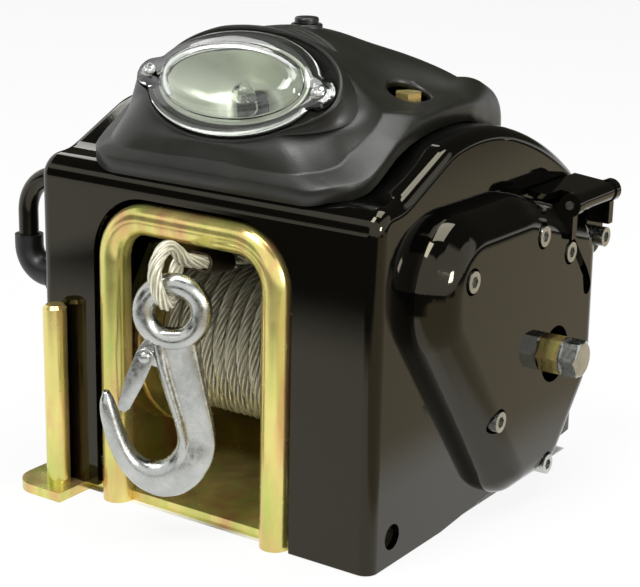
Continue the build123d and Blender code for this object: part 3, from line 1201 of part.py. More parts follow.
with BuildPart() as motor_armature:
    disc_x(ARMATURE_R, -ARMATURE_HALF, ARMATURE_HALF, MOTOR_AXIS)
    with BuildSketch(Plane.YZ.offset(-ARMATURE_HALF)) as slots:
        with Locations(MOTOR_AXIS):
            with PolarLocations(ARMATURE_R - 2, ARMATURE_SLOTS):
                Rectangle(6, 2.2)
    extrude(slots.sketch, amount=2 * ARMATURE_HALF, mode=Mode.SUBTRACT)
    disc_x(MOTOR_SHAFT_R + SEAT_GAP, -ARMATURE_HALF - 1, ARMATURE_HALF + 1, MOTOR_AXIS, Mode.SUBTRACT)
finish(motor_armature.part, "motor_armature")

with BuildPart() as motor_commutator:
    disc_x(COMMUTATOR_R, -ARMATURE_HALF - 10, -ARMATURE_HALF, MOTOR_AXIS)
    disc_x(MOTOR_SHAFT_R + SEAT_GAP, -ARMATURE_HALF - 11, -ARMATURE_HALF + 1, MOTOR_AXIS, Mode.SUBTRACT)
finish(motor_commutator.part, "motor_commutator")

# Wire rope on the drum: a plain core for the hidden layers
with BuildPart() as rope_core:
    core_left = DRUM_LEFT + MOVING_GAP
    core_right = DRUM_RIGHT - MOVING_GAP
    disc_x(LOWER_LAYER_R - ROPE_R - CORE_GAP, core_left, core_right, DRUM_AXIS)
    disc_x(DRUM_HUB_R + SEAT_GAP, core_left - 1, core_right + 1, DRUM_AXIS, Mode.SUBTRACT)
finish(rope_core.part, "rope_core")


def wound_point(turn, radius, station):
    """Point of the rope's centre line at a turn count, a radius and a station along X."""
    spot = polar(DRUM_AXIS, radius, ROPE_START_ANGLE + 360 * turn)
    return Vector(station, *spot)


def wound_heading(turn, radius, advance):
    """Direction of the rope where it advances so far along X in each turn."""
    ahead = math.radians(ROPE_START_ANGLE + 360 * turn)
    around = Vector(0, -math.sin(ahead), math.cos(ahead)) * 2 * math.pi * radius
    return (around + Vector(advance, 0, 0)).normalized()


def biarc_joint(start, start_way, end, end_way):
    """Point where two arcs meet that run from one point and heading to another."""
    span = end - start
    ways = start_way + end_way
    bend = ways.dot(ways) - 4
    slope = span.dot(ways)
    if abs(bend) < 1e-6:
        reach = span.dot(span) / (2 * slope)
    else:
        reach = (slope - math.sqrt(slope * slope - bend * span.dot(span))) / bend
    return (start + start_way * reach + end - end_way * reach) * 0.5


# The winding: lower layer, a quarter turn up at the right flange, then the upper layer
WINDING_LEFT = DRUM_LEFT + ROPE_R + 0.6
CLIMB_TURNS = 0.25
CLIMB_LEFT = WINDING_LEFT + LOWER_TURNS * ROPE_PITCH
CLIMB_RIGHT = CLIMB_LEFT + CLIMB_TURNS * ROPE_PITCH
winding_nodes = []
for half in range(int(2 * LOWER_TURNS) + 1):
    winding_nodes.append((half / 2, LOWER_LAYER_R, WINDING_LEFT + half / 2 * ROPE_PITCH, ROPE_PITCH))
winding_nodes.append((LOWER_TURNS, LOWER_LAYER_R, CLIMB_LEFT, ROPE_PITCH))
climbed = LOWER_TURNS + CLIMB_TURNS
winding_nodes.append((climbed, UPPER_LAYER_R, CLIMB_RIGHT, 0))
crossed = CLIMB_RIGHT - CROSSING
for half in range(1, int(2 * UPPER_TURNS) + 1):
    station = crossed - (half - 1) / 2 * ROPE_PITCH
    winding_nodes.append((climbed + half / 2, UPPER_LAYER_R, station, -ROPE_PITCH))

with BuildPart() as rope_winding:
    with BuildLine() as winding_line:
        spots = [wound_point(*node[:3]) for node in winding_nodes]
        ways = [wound_heading(node[0], node[1], node[3]) for node in winding_nodes]
        Line(spots[0] - ways[0] * 2 * ROPE_R, spots[0])
        for near, near_way, far, far_way in zip(spots, ways, spots[1:], ways[1:]):
            joint = biarc_joint(near, near_way, far, far_way)
            first = TangentArc(near, joint, tangent=near_way)
            TangentArc(joint, far, tangent=first % 1)
        Line(spots[-1], spots[-1] + ways[-1] * 2 * ROPE_R)
    winding_wire = winding_line.wires()[0]
    with BuildSketch(Plane(origin=winding_wire @ 0, z_dir=winding_wire % 0)):
        Circle(ROPE_R)
    sweep(path=winding_wire)
finish(rope_winding.part, "rope_winding")

# Least gap between the rope's own turns, measured on points of its centre line
ROPE_SAMPLES = 3000
traced = [winding_wire @ (each / ROPE_SAMPLES) for each in range(ROPE_SAMPLES + 1)]
apart = int(ROPE_SAMPLES * math.pi * LOWER_LAYER_R / winding_wire.length)
least = min(
    (traced[low] - traced[high]).length
    for low in range(0, ROPE_SAMPLES, 2)
    for high in range(low + apart, min(low + 4 * apart, ROPE_SAMPLES + 1))
)
print("winding: least gap to itself", round(least - 2 * ROPE_R, 3))
section = math.pi * ROPE_R**2
print("winding: volume by length", round(rope_winding.part.volume / (section * winding_wire.length), 4))

# Hook, drawn in its own plane round the centre of its eye
bowl_right = polar(HOOK_BOWL, HOOK_BOWL_R, HOOK_BOWL_RISE)
bowl_left = polar(HOOK_BOWL, HOOK_BOWL_R, 180 - HOOK_BOWL_RISE)
with BuildPart() as hook:
    with BuildSketch(HOOK_PLANE.offset(-HOOK_T / 2)):
        with BuildLine():
            Line(HOOK_NECK_RIGHT, HOOK_BACK)
            ThreePointArc(HOOK_BACK, (10, -82), HOOK_BOTTOM)
            ThreePointArc(HOOK_BOTTOM, (-26, -69), HOOK_TIP_OUT)
            ThreePointArc(HOOK_TIP_OUT, (-29.3, -35.8), HOOK_TIP_IN)
            Line(HOOK_TIP_IN, bowl_left)
            CenterArc(HOOK_BOWL, HOOK_BOWL_R, 180 - HOOK_BOWL_RISE, 180 + 2 * HOOK_BOWL_RISE)
            Line(bowl_right, HOOK_WAIST)
            Line(HOOK_WAIST, HOOK_NECK_LEFT)
            Line(HOOK_NECK_LEFT, HOOK_NECK_RIGHT)
        make_face()
    extrude(amount=HOOK_T)
    across_hook = Axis(HOOK_EYE, HOOK_PLANE.z_dir)
    fillet(hook.edges().filter_by(across_hook), HOOK_CORNER)
    hook_faces = hook.faces().sort_by(across_hook)
    fillet(hook_faces[0].edges() + hook_faces[-1].edges(), HOOK_ROUND)
    with Locations(HOOK_PLANE.location):
        Torus(EYE_RING_R, EYE_WIRE_R)
    with BuildSketch(HOOK_PLANE.offset(-LATCH_EAR_T / 2)):
        with Locations(LATCH_PIVOT):
            Circle(LATCH_R)
        with Locations(((LATCH_PIVOT[0] + HOOK_WAIST[0]) / 2, LATCH_PIVOT[1])):
            Rectangle(HOOK_WAIST[0] - LATCH_PIVOT[0], LATCH_R * 1.6)
    extrude(amount=LATCH_EAR_T)
    with BuildSketch(HOOK_PLANE.offset(-HOOK_T)):
        with Locations(LATCH_PIVOT):
            Circle(LATCH_PIN_R + SEAT_GAP)
    extrude(amount=2 * HOOK_T, mode=Mode.SUBTRACT)
finish(hook.part, "hook")

# Safety latch: a fork over the hook's ear, with its pin
LATCH_WAY = Vector(LATCH_END[0] - LATCH_PIVOT[0], LATCH_END[1] - LATCH_PIVOT[1])
LATCH_TURN = math.degrees(math.atan2(LATCH_WAY.Y, LATCH_WAY.X))
LATCH_MIDDLE = ((LATCH_PIVOT[0] + LATCH_END[0]) / 2, (LATCH_PIVOT[1] + LATCH_END[1]) / 2)
with BuildPart() as hook_latch:
    with BuildSketch(HOOK_PLANE.offset(-LATCH_T / 2)):
        with Locations(LATCH_MIDDLE):
            SlotCenterToCenter(LATCH_WAY.length, 2 * LATCH_R, rotation=LATCH_TURN)
    extrude(amount=LATCH_T)
    with BuildSketch(HOOK_PLANE.offset(-LATCH_EAR_T / 2 - MOVING_GAP)):
        with Locations(LATCH_PIVOT):
            Circle(LATCH_FORK_R)
    extrude(amount=LATCH_EAR_T + 2 * MOVING_GAP, mode=Mode.SUBTRACT)
    with BuildSketch(HOOK_PLANE.offset(-LATCH_T)):
        with Locations(LATCH_PIVOT):
            Circle(LATCH_PIN_R + RUNNING)
    extrude(amount=2 * LATCH_T, mode=Mode.SUBTRACT)
finish(hook_latch.part, "hook_latch")

with BuildPart() as latch_pin:
    pin_half = LATCH_T / 2 + 1
    with BuildSketch(HOOK_PLANE.offset(-pin_half)):
        with Locations(LATCH_PIVOT):
            Circle(LATCH_PIN_R)
    extrude(amount=2 * pin_half)
finish(latch_pin.part, "latch_pin")

# Free end of the rope: off the drum, round the hook's eye and back into the ferrule
hang = math.radians(HANG_ANGLE)
EYE_TOP = HOOK_PLANE.from_local_coords(Vector(EYE_RING_R * math.cos(hang), EYE_RING_R * math.sin(hang), 0))
loop_turn = math.radians(LOOP_TURN)
REARWARD = Vector(-math.sin(loop_turn), math.cos(loop_turn), 0)
UPWARD = Vector(0, 0, 1)


def loop_corner(first, second):
    """Corner of the rope's loop between two headings, both tangent to its circle round the eye."""
    outward = math.radians((first + second) / 2 + 90)
    reach = LOOP_R / math.cos(math.radians((first - second) / 2))
    return EYE_TOP + REARWARD * reach * math.cos(outward) + UPWARD * reach * math.sin(outward)


LOOP_STEP = (180 + LOOP_RISE + LOOP_FALL) / 3
headings = [180 + LOOP_RISE - LOOP_STEP * each for each in range(4)]
loop_corners = [loop_corner(*pair) for pair in zip(headings, headings[1:])]
rise = math.radians(LOOP_RISE)
leg_up = LEG_Z - EYE_TOP.Z
leg_back = (leg_up + LOOP_R / math.cos(rise)) / math.tan(rise)
LEG_TOP = EYE_TOP + REARWARD * leg_back + UPWARD * leg_up - Vector(LEG_SHIFT, 0, 0)
leg_span = math.hypot(LEG_TOP.Y - DRUM_AXIS[0], LEG_TOP.Z - DRUM_AXIS[1])
EXIT_ANGLE = bearing(DRUM_AXIS, (LEG_TOP.Y, LEG_TOP.Z)) - math.degrees(math.acos(UPPER_LAYER_R / leg_span))
wrap_corner_r = UPPER_LAYER_R / math.cos(math.radians(ROPE_WRAP / 2))
WRAP_CORNER = Vector(ROPE_LANE, *polar(DRUM_AXIS, wrap_corner_r, EXIT_ANGLE - ROPE_WRAP / 2))
wrap_start = Vector(ROPE_LANE, *polar(DRUM_AXIS, UPPER_LAYER_R, EXIT_ANGLE - ROPE_WRAP))
ROPE_START = wrap_start - (WRAP_CORNER - wrap_start).normalized() * 2 * ROPE_R
LEG_WAY = (LEG_TOP - WRAP_CORNER).normalized()
LEG_SIDE = UPWARD.cross(LEG_WAY).normalized()
tail_bend = LEG_TOP + LEG_WAY * 5 + LEG_SIDE * LEG_GAP
tail_end = LEG_TOP - LEG_WAY * TAIL_LENGTH + LEG_SIDE * LEG_GAP
route = [ROPE_START, WRAP_CORNER, LEG_TOP, *loop_corners, tail_bend, tail_end]
bends = []
for before, here, after in zip(route, route[1:], route[2:]):
    turned = math.radians((here - before).get_angle(after - here))
    shorter = min((here - before).length, (after - here).length)
    bends.append(min(LARGEST_BEND, 0.45 * shorter / math.tan(turned / 2)))
bends[0] = UPPER_LAYER_R
bends[1] = LEG_BEND
print("rope end: bends", [round(bend, 2) for bend in bends])
print("rope end: route", [tuple(round(value, 3) for value in tuple(spot)) for spot in route])

with BuildPart() as rope_end:
    with BuildLine() as rope_line:
        FilletPolyline(*route, radius=bends)
    rope_wire = rope_line.wires()[0]
    with BuildSketch(Plane(origin=rope_wire @ 0, z_dir=rope_wire % 0)):
        Circle(ROPE_R)
    sweep(path=rope_wire)
finish(rope_end.part, "rope_end")
print("rope end: volume by length", round(rope_end.part.volume / (section * rope_wire.length), 4))

# Ferrule pressed over the two legs of the rope
FERRULE_CENTRE = LEG_TOP - LEG_WAY * FERRULE_BACK + LEG_SIDE * LEG_GAP / 2
FERRULE_PLANE = Plane(origin=FERRULE_CENTRE, x_dir=LEG_SIDE, z_dir=LEG_WAY)
with BuildPart() as rope_ferrule:
    with BuildSketch(FERRULE_PLANE.offset(-FERRULE_LENGTH / 2)):
        SlotCenterToCenter(LEG_GAP, 2 * (ROPE_R + FERRULE_WALL))
    extrude(amount=FERRULE_LENGTH)
    fillet(rope_ferrule.edges().group_by(Axis(FERRULE_CENTRE, LEG_WAY))[0], FERRULE_WALL / 2)
    fillet(rope_ferrule.edges().group_by(Axis(FERRULE_CENTRE, LEG_WAY))[-1], FERRULE_WALL / 2)
    with BuildSketch(FERRULE_PLANE.offset(-FERRULE_LENGTH)):
        with Locations((-LEG_GAP / 2, 0), (LEG_GAP / 2, 0)):
            Circle(ROPE_R + SEAT_GAP)
    extrude(amount=2 * FERRULE_LENGTH, mode=Mode.SUBTRACT)
finish(rope_ferrule.part, "rope_ferrule")

# Supply lead: out of the boot, up and back in through the grommet
with BuildPart() as power_lead:
    with BuildLine() as lead_line:
        FilletPolyline(
            (LEAD_INSIDE_X, LEAD_Y, BOOT_Z),
            (LEAD_OUT_X, LEAD_Y, BOOT_Z),
            (LEAD_OUT_X, LEAD_Y, LEAD_TOP_Z),
            (LEAD_INSIDE_X, LEAD_Y, LEAD_TOP_Z),
            radius=(BOOT_BEND, LEAD_BEND),
        )
    lead_wire = lead_line.wires()[0]
    with BuildSketch(Plane(origin=(LEAD_INSIDE_X, LEAD_Y, BOOT_Z), z_dir=(-1, 0, 0))):
        Circle(LEAD_R)
    sweep(path=lead_wire)
finish(power_lead.part, "power_lead")

with BuildPart() as lead_boot:
    with BuildLine() as boot_line:
        FilletPolyline(
            (HOUSING_LEFT + WALL, LEAD_Y, BOOT_Z),
            (LEAD_OUT_X, LEAD_Y, BOOT_Z),
            (LEAD_OUT_X, LEAD_Y, BOOT_Z + BOOT_RISE),
            radius=BOOT_BEND,
        )
    boot_wire = boot_line.wires()[0]
    boot_start = Plane(origin=(HOUSING_LEFT + WALL, LEAD_Y, BOOT_Z), z_dir=(-1, 0, 0))
    with BuildSketch(boot_start):
        Circle(BOOT_R)
    sweep(path=boot_wire)
    disc_x(BOOT_FLANGE_R, HOUSING_LEFT - BOOT_FLANGE_T, HOUSING_LEFT, (LEAD_Y, BOOT_Z))
    with BuildSketch(boot_start):
        Circle(LEAD_R + SEAT_GAP)
    sweep(path=boot_wire, mode=Mode.SUBTRACT)
finish(lead_boot.part, "lead_boot")

with BuildPart() as lead_grommet:
    lead_at = (LEAD_Y, LEAD_TOP_Z)
    disc_x(GROMMET_R, HOUSING_LEFT - GROMMET_T, HOUSING_LEFT, lead_at)
    disc_x(GROMMET_NECK_R, HOUSING_LEFT, HOUSING_LEFT + WALL, lead_at)
    disc_x(GROMMET_R, HOUSING_LEFT + WALL, HOUSING_LEFT + WALL + GROMMET_T, lead_at)
    disc_x(LEAD_R + SEAT_GAP, LEAD_OUT_X, 0, lead_at, Mode.SUBTRACT)
finish(lead_grommet.part, "lead_grommet")
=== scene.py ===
"""Looks of a small electric trailer winch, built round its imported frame.

Sizes are written in millimetres and turned to metres by MM. X runs to the gear side, Y to the rear and Z up.
"""

import logging
import math
from dataclasses import dataclass, field, replace
from enum import Enum

import bmesh
import bpy
import numpy as np
from mathutils import Matrix, Vector


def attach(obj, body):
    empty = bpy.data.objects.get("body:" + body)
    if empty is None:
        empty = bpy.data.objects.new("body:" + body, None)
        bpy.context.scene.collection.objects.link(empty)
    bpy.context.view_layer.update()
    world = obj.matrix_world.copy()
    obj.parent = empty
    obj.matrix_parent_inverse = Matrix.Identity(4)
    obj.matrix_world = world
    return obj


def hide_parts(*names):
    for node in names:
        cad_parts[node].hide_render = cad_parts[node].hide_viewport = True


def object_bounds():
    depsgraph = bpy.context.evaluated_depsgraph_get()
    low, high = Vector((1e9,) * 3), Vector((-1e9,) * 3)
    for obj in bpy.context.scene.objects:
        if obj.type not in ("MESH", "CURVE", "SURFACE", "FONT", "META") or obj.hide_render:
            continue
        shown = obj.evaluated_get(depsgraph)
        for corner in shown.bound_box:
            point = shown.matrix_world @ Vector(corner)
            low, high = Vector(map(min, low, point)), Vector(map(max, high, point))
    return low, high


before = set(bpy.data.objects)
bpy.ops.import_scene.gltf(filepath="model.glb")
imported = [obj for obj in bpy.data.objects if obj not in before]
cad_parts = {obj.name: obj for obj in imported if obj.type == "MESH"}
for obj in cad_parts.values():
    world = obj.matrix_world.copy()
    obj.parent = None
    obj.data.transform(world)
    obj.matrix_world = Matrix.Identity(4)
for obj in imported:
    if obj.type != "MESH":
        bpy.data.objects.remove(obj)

CAD_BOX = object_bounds()
MM = 0.001
LOG = logging.getLogger("winch")
CURVE_STEPS = 24
DISC_SIDES = 64
# A Mix node's colour sockets share their names with its other kinds, so they go by number.
MIX_FIRST, MIX_SECOND, MIX_RESULT = 6, 7, 2


def linear(code: str) -> tuple[float, float, float, float]:
    """Turn an sRGB hex colour into the linear colour that shaders take.

    Args:
        code: Six hex digits.

    Returns:
        Red, green, blue and alpha, each from 0 to 1.
    """
    parts = [int(code[place : place + 2], 16) / 255 for place in (0, 2, 4)]
    red, green, blue = [part / 12.92 if part <= 0.04045 else ((part + 0.055) / 1.055) ** 2.4 for part in parts]
    return red, green, blue, 1.0


def per_metre(size: float) -> float:
    """Return the texture scale of a pattern whose features are size millimetres across."""
    return 1 / (size * MM)


def run_length(points: np.ndarray) -> np.ndarray:
    """Measure how far each point is along its line.

    Args:
        points: Points in order, or rows of them that are measured side by side.

    Returns:
        The distances, from 0 at the first point.
    """
    steps = np.linalg.norm(np.diff(points, axis=0), axis=-1)
    return np.concatenate([np.zeros_like(steps[:1]), np.cumsum(steps, axis=0)])


def headings(line: np.ndarray) -> np.ndarray:
    """Return the unit vector along a line at each of its points."""
    way = np.gradient(line, axis=0)
    return way / np.linalg.norm(way, axis=1)[:, None]


def hann_mean(padded: np.ndarray, count: int) -> np.ndarray:
    """Smooth a run of values with a Hann window.

    Args:
        padded: The values, with half a window more at each end.
        count: Odd number of values in the window.

    Returns:
        The smoothed values.
    """
    weight = np.hanning(count + 2)[1:-1]
    return np.convolve(padded, weight / weight.sum(), "valid")


def smooth_step(share: float | np.ndarray) -> float | np.ndarray:
    """Ease a share in and out between 0 and 1."""
    return share * share * (3 - 2 * share)


def soft_max(first: np.ndarray, second: np.ndarray, blend: float) -> np.ndarray:
    """Return the greater of two heights, with the crease where they meet filled over blend millimetres."""
    return (first + second + np.hypot(first - second, blend)) / 2


def turned(profile: tuple, sides: int) -> list[np.ndarray]:
    """Make the rings of a shape turned about Z.

    Args:
        profile: Radius and level of each ring.
        sides: Number of points on a ring.

    Returns:
        The rings.
    """
    turn = np.linspace(0, 2 * math.pi, sides, endpoint=False)
    circle = np.column_stack([np.cos(turn), np.sin(turn), np.zeros(sides)])
    return [radius * circle + (0.0, 0.0, level) for radius, level in profile]


def add_node(tree: bpy.types.NodeTree, kind: str, inputs: dict | None = None, **settings) -> bpy.types.Node:
    """Add a shader node with its settings and its links.

    Args:
        tree: Node tree that takes the node.
        kind: Blender's name of the node type.
        inputs: Sockets by name or number, each with a value or with the output that feeds it.
        **settings: Properties of the node itself.

    Returns:
        The new node.
    """
    node = tree.nodes.new(kind)
    for name, value in settings.items():
        setattr(node, name, value)
    for name, value in (inputs or {}).items():
        if isinstance(value, bpy.types.NodeSocket):
            tree.links.new(value, node.inputs[name])
        else:
            node.inputs[name].default_value = value
    return node


@dataclass(frozen=True)
class Cloud:
    """Soft blotches on a piece's own coordinates.

    A blotch is size millimetres wide, and its value runs from low to high. Stretch is how many times finer the
    blotches are along each axis, and layers is how many finer ones lie in them. Nearly all values of the noise lie
    in its reach, which is spread from low to high.
    """

    size: float
    low: float = 0.0
    high: float = 1.0
    stretch: tuple[float, float, float] = (1.0, 1.0, 1.0)
    layers: float = 4.0
    tooth: float = 0.55
    reach: tuple[float, float] = (0.3, 0.7)

    def output(self, tree: bpy.types.NodeTree) -> bpy.types.NodeSocket:
        """Add the nodes of the blotches.

        Args:
            tree: Node tree that takes the nodes.

        Returns:
            The output socket of their value.
        """
        place = add_node(tree, "ShaderNodeTexCoord").outputs["Object"]
        scaled = add_node(tree, "ShaderNodeMapping", {"Vector": place, "Scale": self.stretch}).outputs[0]
        noise = {"Vector": scaled, "Scale": per_metre(self.size), "Detail": self.layers, "Roughness": self.tooth}
        cloud = add_node(tree, "ShaderNodeTexNoise", noise).outputs["Fac"]
        span = {"Value": cloud, "From Min": self.reach[0], "From Max": self.reach[1]}
        span |= {"To Min": self.low, "To Max": self.high}
        return add_node(tree, "ShaderNodeMapRange", span).outputs["Result"]


@dataclass(frozen=True)
class Finish:
    """One surface finish: the values that are the same all over it, and the patterns in them.

    The other colour shows as far as drift says, gloss is the roughness as a share of the finish's own, and relief
    is the height of the surface, up to depth millimetres.
    """

    name: str
    colour: str
    roughness: float
    metallic: float = 0.0
    ior: float = 1.5
    other: str | None = None
    drift: Cloud | None = None
    gloss: Cloud | None = None
    relief: Cloud | None = None
    depth: float = 0.0

    def material(self) -> bpy.types.Material:
        """Return the finish's material, which is made the first time.

        Returns:
            A node material named for the finish.
        """
        made = bpy.data.materials.get(self.name)
        if made is not None:
            return made
        made = bpy.data.materials.new(self.name)
        made.use_nodes = True
        shader = made.node_tree.nodes["Principled BSDF"]
        shader.inputs["Base Color"].default_value = linear(self.colour)
        shader.inputs["Roughness"].default_value = self.roughness
        shader.inputs["Metallic"].default_value = self.metallic
        if self.metallic < 1:
            shader.inputs["IOR"].default_value = self.ior
        self.detail(made.node_tree, shader)
        return made

    def height(self, tree: bpy.types.NodeTree) -> bpy.types.NodeSocket:
        """Add the pattern of the surface's height."""
        return self.relief.output(tree)

    def shades(self, tree: bpy.types.NodeTree, height: bpy.types.NodeSocket) -> list:
        """List the colours that lie over the first one.

        Args:
            tree: Node tree that takes the nodes.
            height: Output socket of the surface's height, for a colour that follows it.

        Returns:
            Each colour with the output socket that says how far it shows.
        """
        return [(self.other, self.drift.output(tree))] if self.other else []

    def detail(self, tree: bpy.types.NodeTree, shader: bpy.types.Node) -> None:
        """Wire the patterns of colour, gloss and height to the shader.

        Args:
            tree: Node tree that takes the nodes.
            shader: Shader of the finish.
        """
        height = self.height(tree)
        bump = {"Height": height, "Distance": self.depth * MM, "Strength": 1.0}
        feeds = {"Normal": add_node(tree, "ShaderNodeBump", bump).outputs[0]}
        ground = linear(self.colour)
        for colour, share in self.shades(tree, height):
            mix = {"Factor": share, MIX_FIRST: ground, MIX_SECOND: linear(colour)}
            ground = add_node(tree, "ShaderNodeMix", mix, data_type="RGBA").outputs[MIX_RESULT]
            feeds["Base Color"] = ground
        if self.gloss:
            low, high = self.roughness * self.gloss.low, self.roughness * self.gloss.high
            feeds["Roughness"] = replace(self.gloss, low=low, high=high).output(tree)
        for socket, output in feeds.items():
            tree.links.new(output, shader.inputs[socket])


@dataclass(frozen=True)
class StovedEnamel(Finish):
    """Black stoving enamel on sheet steel: a mirror gloss with a faint orange peel and wiped smears."""

    gloss: Cloud = Cloud(34.0, 1.0, 2.2)
    relief: Cloud = Cloud(3.0)
    depth: float = 0.004
    gleam: str = "fff6d6"

    def detail(self, tree: bpy.types.NodeTree, shader: bpy.types.Node) -> None:
        """Warm the gloss a little, and wire the patterns."""
        shader.inputs["Specular Tint"].default_value = linear(self.gleam)
        super().detail(tree, shader)


@dataclass(frozen=True)
class ChromateZinc(Finish):
    """Zinc plate passivated yellow: pale gold that drifts to pink and green, with drawn streaks."""

    other: str = "e2a07a"
    drift: Cloud = Cloud(26.0, -0.3, 0.9, (2.4, 2.4, 0.6))
    green: str = "bcd068"
    green_drift: Cloud = Cloud(33.8, -0.4, 0.8, (3.0, 2.2, 0.5))
    gloss: Cloud = Cloud(9.0, 0.75, 1.35)
    relief: Cloud = Cloud(1.6, stretch=(1.0, 1.0, 0.12), layers=0.0)
    depth: float = 0.004

    def shades(self, tree: bpy.types.NodeTree, height: bpy.types.NodeSocket) -> list:
        """Lay the green over the gold and the pink."""
        return [*super().shades(tree, height), (self.green, self.green_drift.output(tree))]


@dataclass(frozen=True)
class BrightZinc(Finish):
    """Clear zinc plate on a forging or a screw: silver grey with fine spangle and soft dents."""

    other: str = "b0b3b0"
    drift: Cloud = Cloud(10.0)
    gloss: Cloud = Cloud(2.2, 0.7, 1.4)
    relief: Cloud = Cloud(5.0, layers=0.6)
    depth: float = 0.01


@dataclass(frozen=True)
class StrandedWire(Finish):
    """Galvanised wires laid up in a strand: the other colour is painted on the ridges along each strand as a
    highlight, and the grooves stay darker as painted shade.

    Real wires are finer. They are drawn as coarse as they need to be to show.
    """

    gloss: Cloud = Cloud(3.0, 0.8, 1.3)
    depth: float = 0.16
    wires: float = 7.0
    wire_lay: float = 16.0

    def height(self, tree: bpy.types.NodeTree) -> bpy.types.NodeSocket:
        """Draw the ridges on the strand's own map, where X goes round it and Y along it in metres."""
        place = add_node(tree, "ShaderNodeUVMap", uv_map="strand").outputs["UV"]
        axes = add_node(tree, "ShaderNodeSeparateXYZ", {0: place})
        along = {0: axes.outputs[1], 1: per_metre(self.wire_lay)}
        turns = add_node(tree, "ShaderNodeMath", along, operation="MULTIPLY").outputs[0]
        around = {0: axes.outputs[0], 1: self.wires, 2: turns}
        phase = add_node(tree, "ShaderNodeMath", around, operation="MULTIPLY_ADD").outputs[0]
        return add_node(tree, "ShaderNodeMath", {0: phase, 1: 1.0}, operation="PINGPONG").outputs[0]

    def shades(self, tree: bpy.types.NodeTree, height: bpy.types.NodeSocket) -> list:
        """Paint the other colour on the ridges as a highlight, which leaves the grooves darker as painted shade."""
        return [(self.other, height)]


@dataclass(frozen=True)
class GrainedPlastic(Finish):
    """Moulded plastic with a spark-eroded grain, a little paler where it is rubbed.

    A real grain is about 0.2 mm wide. It is drawn as coarse as it needs to be to show.
    """

    drift: Cloud = Cloud(22.0, 0.0, 0.8)
    gloss: Cloud = Cloud(12.0, 0.9, 1.1)
    relief: Cloud = Cloud(0.7)
    depth: float = 0.03


@dataclass(frozen=True)
class ClearPlastic(Finish):
    """Clear moulded polycarbonate or glass: see-through, with a slight wave from the mould."""

    relief: Cloud = Cloud(14.0)
    depth: float = 0.02

    def detail(self, tree: bpy.types.NodeTree, shader: bpy.types.Node) -> None:
        """Let light through, and wire the wave."""
        shader.inputs["Transmission Weight"].default_value = 1.0
        super().detail(tree, shader)


@dataclass(frozen=True)
class TurnedMetal(Finish):
    """Machined metal: tool marks that run round X, and a film of oil in patches.

    Real marks are about 0.15 mm apart. They are drawn as coarse as they need to be to show.
    """

    other: str = "4b4640"
    drift: Cloud = Cloud(15.0, 0.0, 0.5)
    gloss: Cloud = Cloud(6.0, 0.8, 1.3)
    relief: Cloud = Cloud(0.5, stretch=(1.0, 0.05, 0.05))
    depth: float = 0.01


class Look(Enum):
    """The finishes of the winch, one for each material slot of the record."""

    # Deep black that mirrors the room, a little uneven where it was wiped.
    BLACK_PAINT = StovedEnamel("black stoving enamel", "050505", 0.035)
    # Pale gold with drifts of pink and green, and bright lines along the rod.
    YELLOW_ZINC = ChromateZinc("yellow chromate zinc", "ecde88", 0.21, 0.77)
    # Silver grey with soft highlights that the dents break up.
    BRIGHT_ZINC = BrightZinc("bright zinc plate", "cbccc8", 0.25, 1.0)
    # Plain grey metal, streaked by the tool and dulled by oil.
    STEEL = TurnedMetal("machined steel", "9a9a98", 0.34, 1.0)
    # Cream painted highlight on the ridges and grey painted shade in the grooves, more matt than bare steel.
    WIRE_ROPE = StrandedWire("galvanised wire strand", "a09b86", 0.3, 0.3, other="f4f1dc")
    # Copper alloy with pressed dents, its colour darkened to a dull brown as painted shade.
    FERRULE_METAL = BrightZinc("copper alloy darkened for shade", "5d5244", 0.42, 1.0, other="433b32")
    # Golden brown with a broad, soft shine.
    BRONZE = TurnedMetal("sintered bronze", "a8803f", 0.45, 1.0)
    # Warm orange metal with a clearer shine than the bronze.
    COPPER = TurnedMetal("turned copper", "c07d58", 0.3, 1.0)
    # Charcoal with a satin sheen that the grain breaks up.
    COVER_PLASTIC = GrainedPlastic("grained charcoal plastic", "181814", 0.37, other="22221d")
    # Smoother black with a soft highlight round its edge.
    BUTTON_PLASTIC = GrainedPlastic("black button plastic", "161616", 0.35, other="1e1e1e", depth=0.01)
    # Flat black with hardly a highlight.
    SWITCH_PLASTIC = GrainedPlastic("black switch plastic", "1b1b1b", 0.5, other="232323")
    # Clear, with bright edges and a slight wave in what lies behind it.
    LENS_CLEAR = ClearPlastic("clear polycarbonate", "f4f7f2", 0.03, ior=1.58)
    # Thin and clear, seen by its highlights alone.
    BULB_GLASS = ClearPlastic("bulb glass", "fbfcf8", 0.01, depth=0.0)
    # Pale silver that blurs what it mirrors.
    REFLECTOR_GREY = BrightZinc(
        "satin metallised plastic",
        "cfd2c6",
        0.4,
        0.7,
        other="c4c7ba",
        drift=Cloud(80.0),
        gloss=Cloud(18.0, 0.7, 1.4),
        relief=Cloud(40.0, layers=0.6),
        depth=0.02,
    )
    # Black with a dull, soft gloss.
    BLACK_RUBBER = GrainedPlastic("black rubber", "121212", 0.4, other="1a1a1a", depth=0.01)
    # Black with a clear but softer mirror than the enamel.
    LEAD_JACKET = StovedEnamel("black lead jacket", "0a0a0a", 0.14, depth=0.002)
    # Matt brick red with darker patches.
    LINING_RED = GrainedPlastic("red pressed fibre", "8a2018", 0.7, other="6e1c16")
    # Dark grey and matt, as stone is.
    MAGNET_GREY = GrainedPlastic("grey ferrite", "3a3b3d", 0.6, other="303133")
    # Nearly black, with a dusty sheen.
    BRUSH_CARBON = GrainedPlastic("carbon brush", "1d1d1e", 0.55, other="262627")

    @property
    def slot(self) -> str:
        """Name of the record's material slot."""
        return self.name.lower()


def in_scene(name: str, data: bpy.types.ID) -> bpy.types.Object:
    """Put a new object with its data into the scene."""
    thing = bpy.data.objects.new(name, data)
    bpy.context.scene.collection.objects.link(thing)
    return thing


